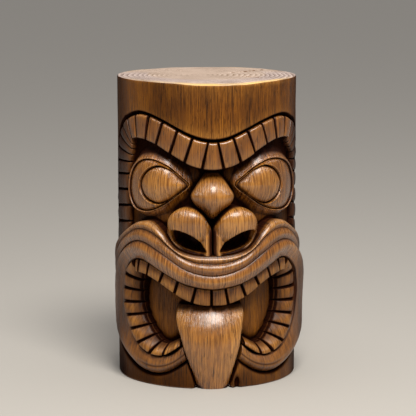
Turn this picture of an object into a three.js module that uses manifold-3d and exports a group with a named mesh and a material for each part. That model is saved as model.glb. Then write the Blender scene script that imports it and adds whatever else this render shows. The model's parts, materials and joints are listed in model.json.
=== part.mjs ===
// A log stool carved as a tiki face. The log stands on its sawn end, and the face looks along -Y.
// Every carved form is laid out on the unrolled log: s runs round the log from the front centre line,
// measured at the log's own radius and positive towards +X, z runs up, and r is the distance from the
// log's axis. Lengths are millimetres. The origin is the centre of the log's foot.

import * as THREE from "three";
import { mergeVertices } from "three/addons/utils/BufferGeometryUtils.js";
import Module from "manifold-3d";

const wasm = await Module();
wasm.setup();

// Driving dimensions.
const LOG_RADIUS = 150;
const LOG_HEIGHT = 505;
const LOG_SIDES = 72;
const EDGE_BREAK = 3; // rounding of the sawn ends' rims
const FACE_FLOOR = 112; // radius of the hollowed floor that the carved pieces stand on
const CHEEK_TOP = 118; // radius of the two smooth cheeks inside the mouth
const SEAT_GAP = 0.5; // between that floor and the back of a piece
const CREASE = 1.2; // width of the carved creases between pieces
const BROW_GROOVE = 5; // width of the groove above the brow
const WALL_GAP = 1.5; // between the outer pieces and the wall of the hollow
const PIECE_BACK = FACE_FLOOR + SEAT_GAP;

// Tops of the pieces, as distances from the log's axis.
const BROW_TOP = 150;
const TEMPLE_TOP = 149;
const TEMPLE_GROOVE_DEPTH = 7;
const FOLD_TOP = 159;
const UPPER_TOOTH_TOP = 149;
const BLOCK_EASE = 2.5; // how far a block's edges are eased
const WIDEST_FLAT = 24; // a block wider than this is bent once, to follow the log

// ---------------------------------------------------------------- curves

/** A smooth function of x through [x, y] knots, level beyond both ends. */
function through(knots) {
  const last = knots.length - 1;
  const slopes = knots.map((_, i) => {
    const [x0, y0] = knots[Math.max(i - 1, 0)];
    const [x1, y1] = knots[Math.min(i + 1, last)];
    return (y1 - y0) / (x1 - x0);
  });
  return (x) => {
    const at = THREE.MathUtils.clamp(x, knots[0][0], knots[last][0]);
    let i = last - 1;
    while (i > 0 && knots[i][0] > at) i--;
    const [x0, y0] = knots[i];
    const [x1, y1] = knots[i + 1];
    const width = x1 - x0;
    const t = (at - x0) / width;
    const rise = y0 * (1 + 2 * t) * (1 - t) ** 2 + y1 * t * t * (3 - 2 * t);
    return rise + width * t * (1 - t) * (slopes[i] * (1 - t) - slopes[i + 1] * t);
  };
}

/** The same for a shape that is alike on both sides of the front centre line. */
function evenThrough(knots) {
  const left = knots.slice(1).reverse().map(([x, y]) => [-x, y]);
  return through([...left, ...knots]);
}

/** A smooth open curve on the unrolled log, whose getPoint(u) passes the points at equal steps of u. */
function rail(points) {
  return new THREE.SplineCurve(points.map(([s, z]) => new THREE.Vector2(s, z)));
}

/** A smooth closed outline on the unrolled log, sampled at so many steps for each of its points. */
function loop(points, steps) {
  const flat = points.map(([s, z]) => new THREE.Vector3(s, z, 0));
  const curve = new THREE.CatmullRomCurve3(flat, true, "catmullrom", 0.5);
  const count = points.length * steps;
  return Array.from({ length: count }, (_, i) => {
    const p = curve.getPoint(i / count);
    return [p.x, p.y];
  });
}

function between(a, b, t) {
  return [a[0] + (b[0] - a[0]) * t, a[1] + (b[1] - a[1]) * t];
}

function steps(count, from = 0, to = 1) {
  return Array.from({ length: count + 1 }, (_, i) => from + ((to - from) * i) / count);
}

function mirrored(points) {
  return points.map(([s, z]) => [-s, z]);
}

// ---------------------------------------------------------------- solids on the log

/** The point at (s, z) on the unrolled log, r from the axis. */
function onLog([s, z], r) {
  const angle = s / LOG_RADIUS;
  return [r * Math.sin(angle), -r * Math.cos(angle), z];
}

/** A geometry from points and triangles, with its faces turned outwards. */
function geometryOf(points, triangles) {
  const geometry = new THREE.BufferGeometry();
  geometry.setAttribute("position", new THREE.Float32BufferAttribute(points.flat(), 3));
  let volume = 0;
  for (const [i, j, k] of triangles) {
    const [a, b, c] = [i, j, k].map((n) => new THREE.Vector3(...points[n]));
    volume += a.dot(b.cross(c)) / 6;
  }
  const facing = volume > 0 ? triangles : triangles.map(([i, j, k]) => [i, k, j]);
  geometry.setIndex(facing.flat());
  return geometry;
}

/**
 * The wall under a rim: rim lists the points of the outer layer, and each has its inner point one layer
 * on. The diagonal always leaves the outer point that is further to the side, so that the walls of two
 * neighbours that share their sections run parallel.
 */
function wall(points, rim, layer) {
  const turn = ([x, y]) => Math.atan2(Math.abs(x), -y);
  return rim.flatMap((a, k) => {
    const b = rim[(k + 1) % rim.length];
    const fromA = turn(points[a]) > turn(points[b]);
    return fromA
      ? [[a, layer + a, layer + b], [a, layer + b, b]]
      : [[a, layer + a, b], [b, layer + a, layer + b]];
  });
}

/** A closed solid between two radii over a four-sided patch, sampled at the given us and vs. */
function slab(patch, outer, inner, us, vs) {
  const columns = vs.length;
  const points = [];
  for (const radius of [outer, inner]) {
    for (const u of us) {
      for (const v of vs) points.push(onLog(patch(u, v), radius(u, v)));
    }
  }
  const layer = us.length * columns;
  const triangles = [];
  for (let i = 0; i + 1 < us.length; i++) {
    for (let j = 0; j + 1 < columns; j++) {
      const a = i * columns + j;
      const b = a + columns;
      triangles.push([a, b, a + 1], [b, b + 1, a + 1]);
      triangles.push([layer + a, layer + a + 1, layer + b], [layer + b, layer + a + 1, layer + b + 1]);
    }
  }
  const rim = [];
  for (let i = 0; i < us.length; i++) rim.push(i * columns);
  for (let j = 1; j < columns; j++) rim.push((us.length - 1) * columns + j);
  for (let i = us.length - 2; i >= 0; i--) rim.push(i * columns + columns - 1);
  for (let j = columns - 2; j > 0; j--) rim.push(j);
  triangles.push(...wall(points, rim, layer));
  return geometryOf(points, triangles);
}

/**
 * A closed solid over a star-shaped outline. Its outer and its inner surface are sampled on the
 * outline shrunk towards the centre, by each of ts and of backTs, which both start at 1.
 */
function dome(outline, centre, outer, inner, ts, backTs = [1, 0.5]) {
  const count = outline.length;
  const points = [];
  const triangles = [];
  const layers = [[outer, ts], [inner, backTs]];
  for (const [radius, shares] of layers) {
    const start = points.length;
    const isBack = radius === inner;
    const add = (i, j, k) => triangles.push(isBack ? [i, k, j] : [i, j, k]);
    for (const t of shares) {
      for (const edge of outline) {
        const place = between(centre, edge, t);
        points.push(onLog(place, radius(t, place)));
      }
    }
    points.push(onLog(centre, radius(0, centre)));
    for (let i = 0; i < count; i++) {
      const next = (i + 1) % count;
      for (let k = 0; k + 1 < shares.length; k++) {
        const a = start + k * count;
        add(a + i, a + next, a + count + i);
        add(a + next, a + count + next, a + count + i);
      }
      const innermost = start + (shares.length - 1) * count;
      add(innermost + i, innermost + next, points.length - 1);
    }
  }
  const layer = ts.length * count + 1;
  triangles.push(...wall(points, outline.map((_, i) => i), layer));
  return geometryOf(points, triangles);
}

/** A closed ring-shaped solid through a cycle of loops with equal counts, each { outline, radius }. */
function hoop(loops) {
  const count = loops[0].outline.length;
  const points = loops.flatMap(({ outline, radius }) => outline.map((p) => onLog(p, radius(p))));
  const triangles = [];
  loops.forEach((_, k) => {
    const a = k * count;
    const b = ((k + 1) % loops.length) * count;
    for (let i = 0; i < count; i++) {
      const next = (i + 1) % count;
      triangles.push([a + i, a + next, b + i], [a + next, b + next, b + i]);
    }
  });
  return geometryOf(points, triangles);
}

// ---------------------------------------------------------------- joining and cutting

function solidOf(geometry) {
  const bare = geometry.clone();
  bare.deleteAttribute("normal");
  bare.deleteAttribute("uv");
  const merged = mergeVertices(bare, 1e-4);
  return new wasm.Manifold(
    new wasm.Mesh({
      numProp: 3,
      vertProperties: new Float32Array(merged.attributes.position.array),
      triVerts: new Uint32Array(merged.index.array),
    }),
  );
}

/** A blank with a hollow cut into it and mounds left standing in the hollow, as one solid. */
function carved(blank, hollow, mounds) {
  let solid = solidOf(blank).subtract(solidOf(hollow));
  for (const mound of mounds) solid = solid.add(solidOf(mound));
  const mesh = solid.getMesh();
  const result = new THREE.BufferGeometry();
  result.setAttribute("position", new THREE.BufferAttribute(mesh.vertProperties, 3));
  result.setIndex(new THREE.BufferAttribute(mesh.triVerts, 1));
  return result;
}

// ---------------------------------------------------------------- materials

function wood(colour, roughness) {
  return new THREE.MeshStandardMaterial({ color: colour, roughness, metalness: 0 });
}

const BARK_BROWN = wood("#6b4018", 0.45);
const RIDGE_BROWN = wood("#8a5522", 0.4);
const TOOTH_BROWN = wood("#7d4d20", 0.45);
const EYE_BROWN = wood("#8f5c28", 0.35);

const stool = new THREE.Group();

function place(name, geometry, material) {
  const mesh = new THREE.Mesh(geometry, material);
  mesh.name = name;
  stool.add(mesh);
}

const SIDES = [
  { side: "right", hand: 1 },
  { side: "left", hand: -1 },
];

// ---------------------------------------------------------------- brow

// The two ends of the brow aren't quite level, as the log was carved by hand.
const browUpperEdge = through([
  [-172, 438], [-152, 445.5], [-132, 448.5], [-108, 445], [-85, 437], [-62, 426], [-42, 416.5], [-20, 409],
  [0, 406], [20, 409], [42, 416.5], [62, 424.5], [85, 434.5], [108, 441], [132, 444], [152, 441.5], [172, 434],
]);
const browLowerEdge = evenThrough([
  [0, 362], [18, 364], [37, 369], [57, 379], [77, 390], [98, 400], [120, 407], [142, 409], [155, 406],
]);
// Where the creases between the blocks meet the brow's upper and lower edge, on one half.
const BROW_CUTS = [
  [8, 18], [34, 47], [60, 73], [87, 99], [115, 121], [146, 142], [172, 155],
];

/** A four-sided patch between two creases of the brow, each [s at the upper edge, s at the lower edge]. */
function browPatch(from, to) {
  return (u, v) => {
    const top = from[0] + (to[0] - from[0]) * u;
    const bottom = from[1] + (to[1] - from[1]) * u;
    return between([top, browUpperEdge(top)], [bottom, browLowerEdge(bottom)], v);
  };
}

/** A block with eased edges over a patch, kept half a crease clear of its neighbours in u. */
function block(patch, width, top) {
  const margin = CREASE / 2 / width;
  const ease = BLOCK_EASE / width;
  const middle = width > WIDEST_FLAT ? [0.5] : [];
  const us = [margin, margin + ease, ...middle, 1 - margin - ease, 1 - margin];
  const vs = [0, 0.08, 0.92, 1];
  const eased = (u, v) => u < margin + ease || u > 1 - margin - ease || v === 0 || v === 1;
  const outer = (u, v) => top(u, v) - (eased(u, v) ? BLOCK_EASE : 0);
  return slab(patch, outer, () => PIECE_BACK, us, vs);
}

function addBrow() {
  const centre = BROW_CUTS[0];
  const across = centre[0] + centre[1];
  place("brow_block_centre", block(browPatch([-centre[0], -centre[1]], centre), across, () => BROW_TOP), RIDGE_BROWN);
  for (const { side, hand } of SIDES) {
    BROW_CUTS.slice(1).forEach((outerCut, i) => {
      const innerCut = BROW_CUTS[i];
      const patch = browPatch(innerCut.map((s) => hand * s), outerCut.map((s) => hand * s));
      const width = (outerCut[0] - innerCut[0] + outerCut[1] - innerCut[1]) / 2;
      place(`brow_block_${side}_${i + 1}`, block(patch, width, () => BROW_TOP), RIDGE_BROWN);
    });
  }
}

// ---------------------------------------------------------------- temples

// The notched bands that carry the brow round the corner and down to the cheeks, as pairs of places
// on the outer and the inner edge. They begin where the last brow block ends.
const TEMPLE_SECTIONS = [
  [[173.5, 434], [156.5, 405.5]],
  [[192, 425], [156, 397]],
  [[208, 409], [157, 389]],
  [[220, 388], [159, 379]],
  [[229, 364], [163, 367]],
  [[235, 339], [167.5, 347]],
  [[237, 313], [168.5, 321]],
  [[238, 285], [168.5, 294.5]],
  [[238, 258], [168, 267.5]],
  [[237, 207], [168, 255]],
];

// The right eye reaches further round than the left one, so the band beside it is narrower.
const RIGHT_EYE_REACH = 12;

/** How far a place near the right eye's outer end is moved outwards. */
function reach(hand, share) {
  return hand > 0 ? RIGHT_EYE_REACH * THREE.MathUtils.clamp(share, 0, 1) ** 2 : 0;
}

/** The outer edge of one band, which starts where the brow's upper edge ends. */
function templeOuterEdge(hand) {
  const edge = TEMPLE_SECTIONS.map(([[s, z]]) => [hand * s, z]);
  edge[0][1] = browUpperEdge(edge[0][0]);
  return edge;
}

function addTemples() {
  const notches = TEMPLE_SECTIONS.length - 1;
  const notchHalf = 0.12; // of the step from one notch to the next
  const us = steps(notches).flatMap((u, i) => {
    const half = notchHalf / notches;
    if (i === 0) return [u, u + half];
    return i === notches ? [u - half, u] : [u - half, u, u + half];
  });
  const vs = [0, 0.07, 0.5, 0.93, 1];
  for (const { side, hand } of SIDES) {
    const outerRail = rail(templeOuterEdge(hand));
    const innerRail = rail(TEMPLE_SECTIONS.map(([, p], i) => [hand * (p[0] + reach(hand, i / 3)), p[1]]));
    const patch = (u, v) => between(outerRail.getPoint(u).toArray(), innerRail.getPoint(u).toArray(), v);
    const top = (u, v) => {
      const inNotch = Math.abs(u * notches - Math.round(u * notches)) < 1e-6;
      const atRim = v === 0 || v === 1;
      return TEMPLE_TOP - (inNotch ? TEMPLE_GROOVE_DEPTH : atRim ? 2 : 0);
    };
    place(`temple_band_${side}`, slab(patch, top, () => PIECE_BACK, us, vs), RIDGE_BROWN);
  }
}

// ---------------------------------------------------------------- eyes

// Twelve matching places round each outline, from the inner corner over the top. The mound is the
// foot of the eyelid's outer slope, the lid is its crest.
const EYE_MOUND = [
  [38, 336], [45, 365], [70, 383], [104, 399], [136, 402], [154, 378],
  [166, 336], [165.5, 303], [151, 283], [117, 278.5], [83, 287], [51, 306],
];
const EYE_LID = [
  [41, 335], [57, 351], [79, 368], [105, 377], [131, 373], [150, 359],
  [163, 334], [161, 311], [145, 293], [119, 289.5], [89, 300], [63, 317],
];
const EYE_IRIS = [
  [47, 335], [60, 348], [76, 361], [93, 367], [110, 362], [125, 350],
  [133, 336], [129, 321], [116, 310], [98, 304], [79, 311], [62, 322],
];
const EYE_CENTRE = [95, 335];
const EYE_HALF_WIDTH = 71;
const lidCrest = evenThrough([[0, 112], [41, 122], [80, 137], [120, 144], [166, 147.5], [180, 150]]);

/** The outline moved towards the eye's centre by a distance. */
function drawnIn(outline, distance) {
  return outline.map((p) => {
    const length = Math.hypot(p[0] - EYE_CENTRE[0], p[1] - EYE_CENTRE[1]);
    return between(p, EYE_CENTRE, distance / length);
  });
}

function addEyes() {
  const back = () => PIECE_BACK;
  const crestAt = ([s]) => lidCrest(s);
  const surface = ([s], sunk) => lidCrest(s) - sunk;
  const iris = loop(EYE_IRIS, 2);
  const irisOuter = drawnIn(iris, CREASE);
  for (const { side, hand } of SIDES) {
    const turned = (outline) => outline.map(([s, z]) => [hand * s, z]);
    const reaching = ([s, z]) => [s + reach(hand, (s - EYE_CENTRE[0]) / EYE_HALF_WIDTH), z];
    const mound = loop(EYE_MOUND.map(reaching), 2);
    const lid = loop(EYE_LID.map(reaching), 2);
    const lidInner = drawnIn(lid, 3);
    const ballOuter = drawnIn(lid, 3 + CREASE);
    const middle = mound.map((p, i) => between(p, lid[i], 0.55));
    const lidCrown = drawnIn(lid, 1.5);
    const eyelid = hoop([
      { outline: turned(mound), radius: back },
      { outline: turned(mound), radius: () => PIECE_BACK + 3 },
      { outline: turned(middle), radius: (p) => 0.45 * PIECE_BACK + 0.55 * crestAt(p) + 3 },
      { outline: turned(lid), radius: (p) => crestAt(p) },
      { outline: turned(lidCrown), radius: (p) => crestAt(p) + 0.8 },
      { outline: turned(lidInner), radius: (p) => crestAt(p) - 1.5 },
      { outline: turned(lidInner), radius: back },
    ]);
    const eyeball = hoop([
      { outline: turned(ballOuter), radius: back },
      { outline: turned(ballOuter), radius: (p) => surface(p, 4) },
      { outline: turned(iris.map((p, i) => between(p, ballOuter[i], 0.5))), radius: (p) => surface(p, 1) },
      { outline: turned(iris), radius: (p) => surface(p, 1.5) },
      { outline: turned(iris), radius: back },
      { outline: turned(iris.map((p, i) => between(p, ballOuter[i], 0.5))), radius: back },
    ]);
    const bulge = (t, place) => lidCrest(place[0]) - 2 + 9 * Math.sqrt(Math.max(0, 1 - t ** 2.4));
    const centre = [hand * EYE_CENTRE[0], EYE_CENTRE[1]];
    place(`eyelid_${side}`, eyelid, RIDGE_BROWN);
    place(`eyeball_${side}`, eyeball, EYE_BROWN);
    place(`iris_${side}`, dome(turned(irisOuter), centre, bulge, back, [1, 0.92, 0.7, 0.35]), EYE_BROWN);
  }
}

// ---------------------------------------------------------------- nose

const BRIDGE_OUTLINE = [
  [0, 358], [12, 356], [22, 346], [31, 333], [38, 320], [33, 307], [23, 297], [11, 287],
  [0, 281], [-11, 287], [-23, 297], [-33, 307], [-38, 320], [-31, 333], [-22, 346], [-12, 356],
];
const BRIDGE_CENTRE = [0, 320];
const bridgeKeel = through([[284, 151], [300, 157], [318, 159], [335, 153], [350, 142], [359, 134]]);

// Matching places round one wing of the nose and round the nostril in it, from the outer side over
// the top to the pillar beside the middle and back along the lip.
const WING_SECTIONS = [
  [[79, 257], [70, 256]],
  [[77, 269], [68, 262]],
  [[74, 280], [62, 264.5]],
  [[66, 291], [55, 265]],
  [[54, 299], [48, 263.5]],
  [[41, 301], [41, 261]],
  [[27, 297], [34, 257]],
  [[16, 288], [28, 252.5]],
  [[8, 276], [22.5, 247]],
  [[1.6, 264], [18, 241.5]],
  [[1.2, 251], [14.5, 236.5]],
  [[1.4, 238], [12, 232.5]],
  [[3, 225.5], [13, 228.5]],
  [[15, 224], [20, 227.5]],
  [[28, 225.5], [30, 229.5]],
  [[40, 228], [40, 232]],
  [[52, 231.5], [50, 234.5]],
  [[65, 240], [59, 238.5]],
  [[74, 250], [66.5, 246]],
];

/** The radius of a wing's skin: a ball over the nostril, a pillar beside the middle, a low rim outside. */
function wingSkin(s, z) {
  const reachDown = z > 277 ? 27 : 40;
  const off = ((s - 41) / 37) ** 2 + ((z - 277) / reachDown) ** 2;
  const ball = 145 + 25 * Math.sqrt(Math.max(0, 1 - off));
  const pillar = 150 + 8 * Math.exp(-(((s - 9) / 8) ** 2));
  return Math.max(ball, z < 262 ? pillar : 0);
}

function addNose() {
  const back = () => PIECE_BACK;
  const rings = [1, 0.94, 0.75, 0.4];
  const rounded = (t) => Math.sqrt(Math.max(0, 1 - t ** 2.6));
  const bridge = (t, [, z]) => bridgeKeel(z) - 14 * (1 - rounded(t));
  place("nose_bridge", dome(loop(BRIDGE_OUTLINE, 1), BRIDGE_CENTRE, bridge, back, rings), RIDGE_BROWN);
  const outer = loop(WING_SECTIONS.map(([edge]) => edge), 2);
  const nostril = loop(WING_SECTIONS.map(([, rim]) => rim), 2);
  for (const { side, hand } of SIDES) {
    const ring = (share, radius) => {
      const places = outer.map((p, i) => between(p, nostril[i], share));
      return { outline: places.map(([s, z]) => [hand * s, z]), radius };
    };
    const skin = (sunk) => ([s, z]) => wingSkin(Math.abs(s), z) - sunk;
    const loops = [ring(0, back), ring(0, skin(4))];
    for (const share of [0.1, 0.3, 0.6, 0.9]) loops.push(ring(share, skin(0)));
    loops.push(ring(1, skin(2)), ring(1, back));
    place(`nose_wing_${side}`, hoop(loops), RIDGE_BROWN);
  }
}

// ---------------------------------------------------------------- mouth

// One half of the mouth, from the middle of the upper lip round the corner to the tongue. Each row
// holds the places where one cross-section meets the lip's outer and inner edge.
const LIP_SECTIONS = [
  [[0, 189.5], [0, 167]],
  [[25, 193], [23, 169]],
  [[48, 202], [45, 174]],
  [[70, 215], [66, 183]],
  [[91, 228], [87, 193]],
  [[111, 238], [108, 202]],
  [[132, 241], [129, 208]],
  [[154, 234], [150, 206.5]],
  [[180, 217], [168, 197]],
  [[207, 194], [181, 181]],
  [[230, 168], [187, 163]],
  [[243, 138], [189, 145]],
  [[246, 110], [185, 126]],
  [[234, 82], [176, 106]],
  [[205, 58], [163, 86.5]],
  [[172, 40], [147, 68]],
  [[143, 27], [126, 55]],
  [[115, 20], [104, 49]],
  [[88, 22], [84, 50.5]],
  [[66, 31], [67, 57]],
  [[43.5, 47], [50.5, 71]],
];
// The same sections' places on the two folds above the lip: the cheek's upper edge, and the crease
// between the folds. The folds run out down the side of the head.
const FOLD_SECTIONS = [
  [[0, 221.5], [0, 208.5]],
  [[27, 223.5], [26, 212]],
  [[51, 229], [50, 221]],
  [[66, 238.5], [70, 235]],
  [[83, 259], [90, 251]],
  [[103, 275], [111, 260]],
  [[126, 273.5], [134, 260]],
  [[150, 262], [156, 250]],
  [[181, 244], [184, 233]],
  [[212, 223], [213, 209]],
  [[236, 199], [236, 180]],
  [[247, 172], [246, 149]],
];
// How far the lip's crest stands from the axis, along the mouth from its left end to its right end.
// The right cheek was left fuller than the left one.
const lipCrest = through([
  [-1, 156], [-0.85, 157], [-0.5, 157], [-0.3, 160], [0, 161], [0.3, 162], [0.5, 165.5], [0.65, 164], [0.85, 158], [1, 156],
]);

/** The middle share of an edge that runs over both halves of the face, as a function of u from 0 to 1. */
function edgeOver(half, share = 1) {
  const curve = rail([...mirrored(half.slice(1)).reverse(), ...half]);
  return (u) => curve.getPoint(0.5 + (u - 0.5) * share).toArray();
}

/** A band between two edges, with a rounded back that falls by drop at both edges. */
function band(outerEdge, innerEdge, count, crest, drop) {
  const patch = (u, v) => {
    const a = outerEdge(u);
    const b = innerEdge(u);
    const margin = CREASE / 2 / Math.hypot(a[0] - b[0], a[1] - b[1]);
    return between(a, b, margin + v * (1 - 2 * margin));
  };
  const top = (u, v) => crest(2 * u - 1) - drop * Math.abs(2 * v - 1) ** 2.5;
  return slab(patch, top, () => PIECE_BACK, steps(count), [0, 0.15, 0.5, 0.85, 1]);
}

function addLipsAndFolds() {
  const lipOuter = LIP_SECTIONS.map(([outer]) => outer);
  const lipInner = LIP_SECTIONS.map(([, inner]) => inner);
  const cheekEdge = FOLD_SECTIONS.map(([edge]) => edge);
  const crease = FOLD_SECTIONS.map(([, place]) => place);
  const runOut = evenThrough([[0, FOLD_TOP], [0.6, FOLD_TOP + 1], [0.85, 156], [1, 151]]);
  const foldShare = (FOLD_SECTIONS.length - 1) / (LIP_SECTIONS.length - 1);
  const overFolds = 4 * (FOLD_SECTIONS.length - 1);
  const overLips = 4 * (LIP_SECTIONS.length - 1);
  const foldCrease = edgeOver(crease);
  place("lips", band(edgeOver(lipOuter), edgeOver(lipInner), overLips, lipCrest, 8), RIDGE_BROWN);
  place("cheek_fold", band(edgeOver(cheekEdge), foldCrease, overFolds, runOut, 7), RIDGE_BROWN);
  place("middle_fold", band(foldCrease, edgeOver(lipOuter, foldShare), overFolds, runOut, 5), RIDGE_BROWN);
}

// Where the creases between the upper teeth meet the lip and the biting edge, on each half. The row
// isn't quite central.
const UPPER_TOOTH_CUTS = {
  right: [[-2.6, -2.5], [21, 26], [48, 57], [73.5, 83.5], [99.5, 107], [127.5, 134], [151, 151]],
  left: [[2.6, 2.5], [29, 36], [59, 66], [86, 94], [115, 120.5], [139, 142], [151, 151]],
};
const upperLipEdge = evenThrough(LIP_SECTIONS.slice(0, 10).map(([, inner]) => inner));
const bitingEdge = evenThrough([
  [0, 138], [17, 138.5], [32, 141.5], [45, 146], [58, 152], [72, 160.5], [87, 169.5], [102, 177], [118, 182.5],
  [135, 184.5], [153, 184],
]);

// The creases between the side and lower teeth, from the mouth's corner down to the tongue: each
// line's place at the lip and at the teeth's inner edge.
const LOWER_TOOTH_LINES = [
  [[152.5, 204], [152.5, 183]],
  [[179, 180], [161, 170]],
  [[187, 154], [166, 151]],
  [[184, 130], [164, 131]],
  [[174, 107.5], [153, 112]],
  [[160, 86], [138, 93]],
  [[140, 66], [121, 77]],
  [[112, 53], [103, 67]],
  [[84, 53], [84, 66.5]],
  [[53.5, 72], [54.5, 83]],
];
const LOWER_TOOTH_OUTER = 151;
const LOWER_TOOTH_INNER = 141;

function addTeeth() {
  for (const { side, hand } of SIDES) {
    const cuts = UPPER_TOOTH_CUTS[side];
    cuts.slice(1).forEach((outerCut, i) => {
      const innerCut = cuts[i];
      const patch = (u, v) => {
        const top = hand * (innerCut[0] + (outerCut[0] - innerCut[0]) * u);
        const bottom = hand * (innerCut[1] + (outerCut[1] - innerCut[1]) * u);
        return between([top, upperLipEdge(top) - CREASE], [bottom, bitingEdge(bottom)], v);
      };
      const width = outerCut[0] - innerCut[0];
      place(`upper_tooth_${side}_${i + 1}`, block(patch, width, () => UPPER_TOOTH_TOP), TOOTH_BROWN);
    });
    const count = LOWER_TOOTH_LINES.length - 1;
    const outerRail = rail(LOWER_TOOTH_LINES.map(([[s, z]]) => [hand * s, z]));
    const innerRail = rail(LOWER_TOOTH_LINES.map(([, [s, z]]) => [hand * s, z]));
    LOWER_TOOTH_LINES.slice(1).forEach((line, i) => {
      const before = LOWER_TOOTH_LINES[i];
      const patch = (u, v) => {
        const along = (i + u) / count;
        return between(outerRail.getPoint(along).toArray(), innerRail.getPoint(along).toArray(), v);
      };
      const width = Math.hypot(line[1][0] - before[1][0], line[1][1] - before[1][1]);
      const top = (u, v) => LOWER_TOOTH_OUTER + (LOWER_TOOTH_INNER - LOWER_TOOTH_OUTER) * v;
      place(`lower_tooth_${side}_${i + 1}`, block(patch, width, top), TOOTH_BROWN);
    });
  }
}

// ---------------------------------------------------------------- tongue

const tongueRight = through([[0, 27], [24, 32], [45, 37], [65, 42], [90, 46.5], [114, 50], [129, 52.5]]);
const tongueLeft = through([[0, -27], [22, -33], [41, -39.5], [58, -45], [82, -51], [107, -57], [129, -63]]);
const tongueRidge = through([
  [0, 151], [25, 156], [50, 161], [75, 164.5], [95, 165], [110, 162], [120, 157.5], [126, 153], [129, 148],
]);
const TONGUE_LEVELS = [0, 20, 45, 70, 95, 110, 120, 126, 129];
const TONGUE_EDGE_DROP = 11;

function addTongue() {
  const patch = (u, z) => [u > 0 ? u * tongueRight(z) : -u * tongueLeft(z), z];
  const top = (u, z) => Math.max(tongueRidge(z) - TONGUE_EDGE_DROP * Math.abs(u) ** 3, PIECE_BACK + 4);
  const across = [-1, -0.9, -0.6, -0.3, 0, 0.3, 0.6, 0.9, 1];
  place("tongue", slab(patch, top, () => PIECE_BACK, across, TONGUE_LEVELS), RIDGE_BROWN);
}

// ---------------------------------------------------------------- log

const FACE_CENTRE = [0, 235];
const CHEEK_OUTLINE = [
  [64, 87], [64, 105], [67, 122], [67, 140], [78, 154], [98, 168], [122, 177], [143, 178], [154, 167],
  [159, 150], [157, 131], [147, 113], [132, 96], [117, 81], [100, 72], [84, 71], [71, 78],
];
const CHEEK_CENTRE = [105, 120];
const BEYOND = 200; // a radius outside everything

/** Places along an edge from one share of its length to the end, moved outwards by a gap. */
function clearOf(points, from, count, gapAt) {
  const edge = rail(points);
  return steps(count, from, 1).map((u) => {
    const { x, y } = edge.getPoint(u);
    const { x: dx, y: dy } = edge.getTangent(u);
    const gap = gapAt(u);
    return [x - gap * dy, y + gap * dx];
  });
}

/** One half of the hollowed face's outline, from the brow's middle to below the foot, turned to +s. */
function halfFaceOutline(hand) {
  const brow = steps(11, 0, 172).map((s) => [s, browUpperEdge(hand * s) + BROW_GROOVE]);
  const narrowing = (u) => THREE.MathUtils.lerp(BROW_GROOVE, WALL_GAP, Math.min(1, 2 * u));
  const even = () => WALL_GAP;
  const templeEdge = templeOuterEdge(hand).map(([s, z]) => [Math.abs(s), z]);
  const temple = clearOf(templeEdge, 0, 9, narrowing);
  const lastFolds = FOLD_SECTIONS.slice(9);
  const folds = clearOf(lastFolds.map(([edge]) => edge), 0.5, 2, even);
  const [, [runOutS, runOutZ]] = FOLD_SECTIONS[FOLD_SECTIONS.length - 1];
  const lips = clearOf(LIP_SECTIONS.slice(10).map(([outer]) => outer), 0.1, 18, even);
  const channelWall = (z) => -tongueLeft(Math.max(z, 0)) + WALL_GAP;
  const clearLips = lips.filter(([s, z]) => s > channelWall(z));
  const channel = [41, 25, 10, -5].map((z) => [channelWall(z), z]);
  return [...brow, ...temple.slice(1), ...folds, [runOutS + WALL_GAP, runOutZ], ...clearLips, ...channel];
}

function addLog() {
  const profile = [
    [0, 0], [LOG_RADIUS - EDGE_BREAK, 0], [LOG_RADIUS, EDGE_BREAK],
    [LOG_RADIUS, LOG_HEIGHT - EDGE_BREAK], [LOG_RADIUS - EDGE_BREAK, LOG_HEIGHT], [0, LOG_HEIGHT],
  ];
  const blank = new THREE.LatheGeometry(profile.map(([r, z]) => new THREE.Vector2(r, z)), LOG_SIDES);
  blank.rotateX(Math.PI / 2);
  const face = [...halfFaceOutline(1), ...mirrored(halfFaceOutline(-1).slice(1)).reverse()];
  const rings = steps(6, 1, 1 / 7);
  const hollow = dome(face, FACE_CENTRE, () => BEYOND, () => FACE_FLOOR, [1, 0.75, 0.5, 0.25], rings);
  const cheeks = SIDES.map(({ hand }) => {
    const outline = loop(CHEEK_OUTLINE.map(([s, z]) => [hand * s, z]), 1);
    const centre = [hand * CHEEK_CENTRE[0], CHEEK_CENTRE[1]];
    const swelling = (t) => CHEEK_TOP - 4 * t ** 4;
    return dome(outline, centre, swelling, () => FACE_FLOOR - 4, [1, 0.85, 0.5], [1, 0.5]);
  });
  place("log_body", carved(blank, hollow, cheeks), BARK_BROWN);
}

addLog();
addBrow();
addTemples();
addEyes();
addNose();
addLipsAndFolds();
addTeeth();
addTongue();

export default stool;
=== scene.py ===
"""A log stool carved as a tiki face, stained brown and varnished.

Every carved form is laid out on the unrolled log, in millimetres: s runs round the log from the front
centre line, measured at the log's own radius and positive towards +X, z runs up, and r is the distance
from the log's axis. The meshes themselves are in metres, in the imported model's frame.
"""

import json
import math

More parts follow.
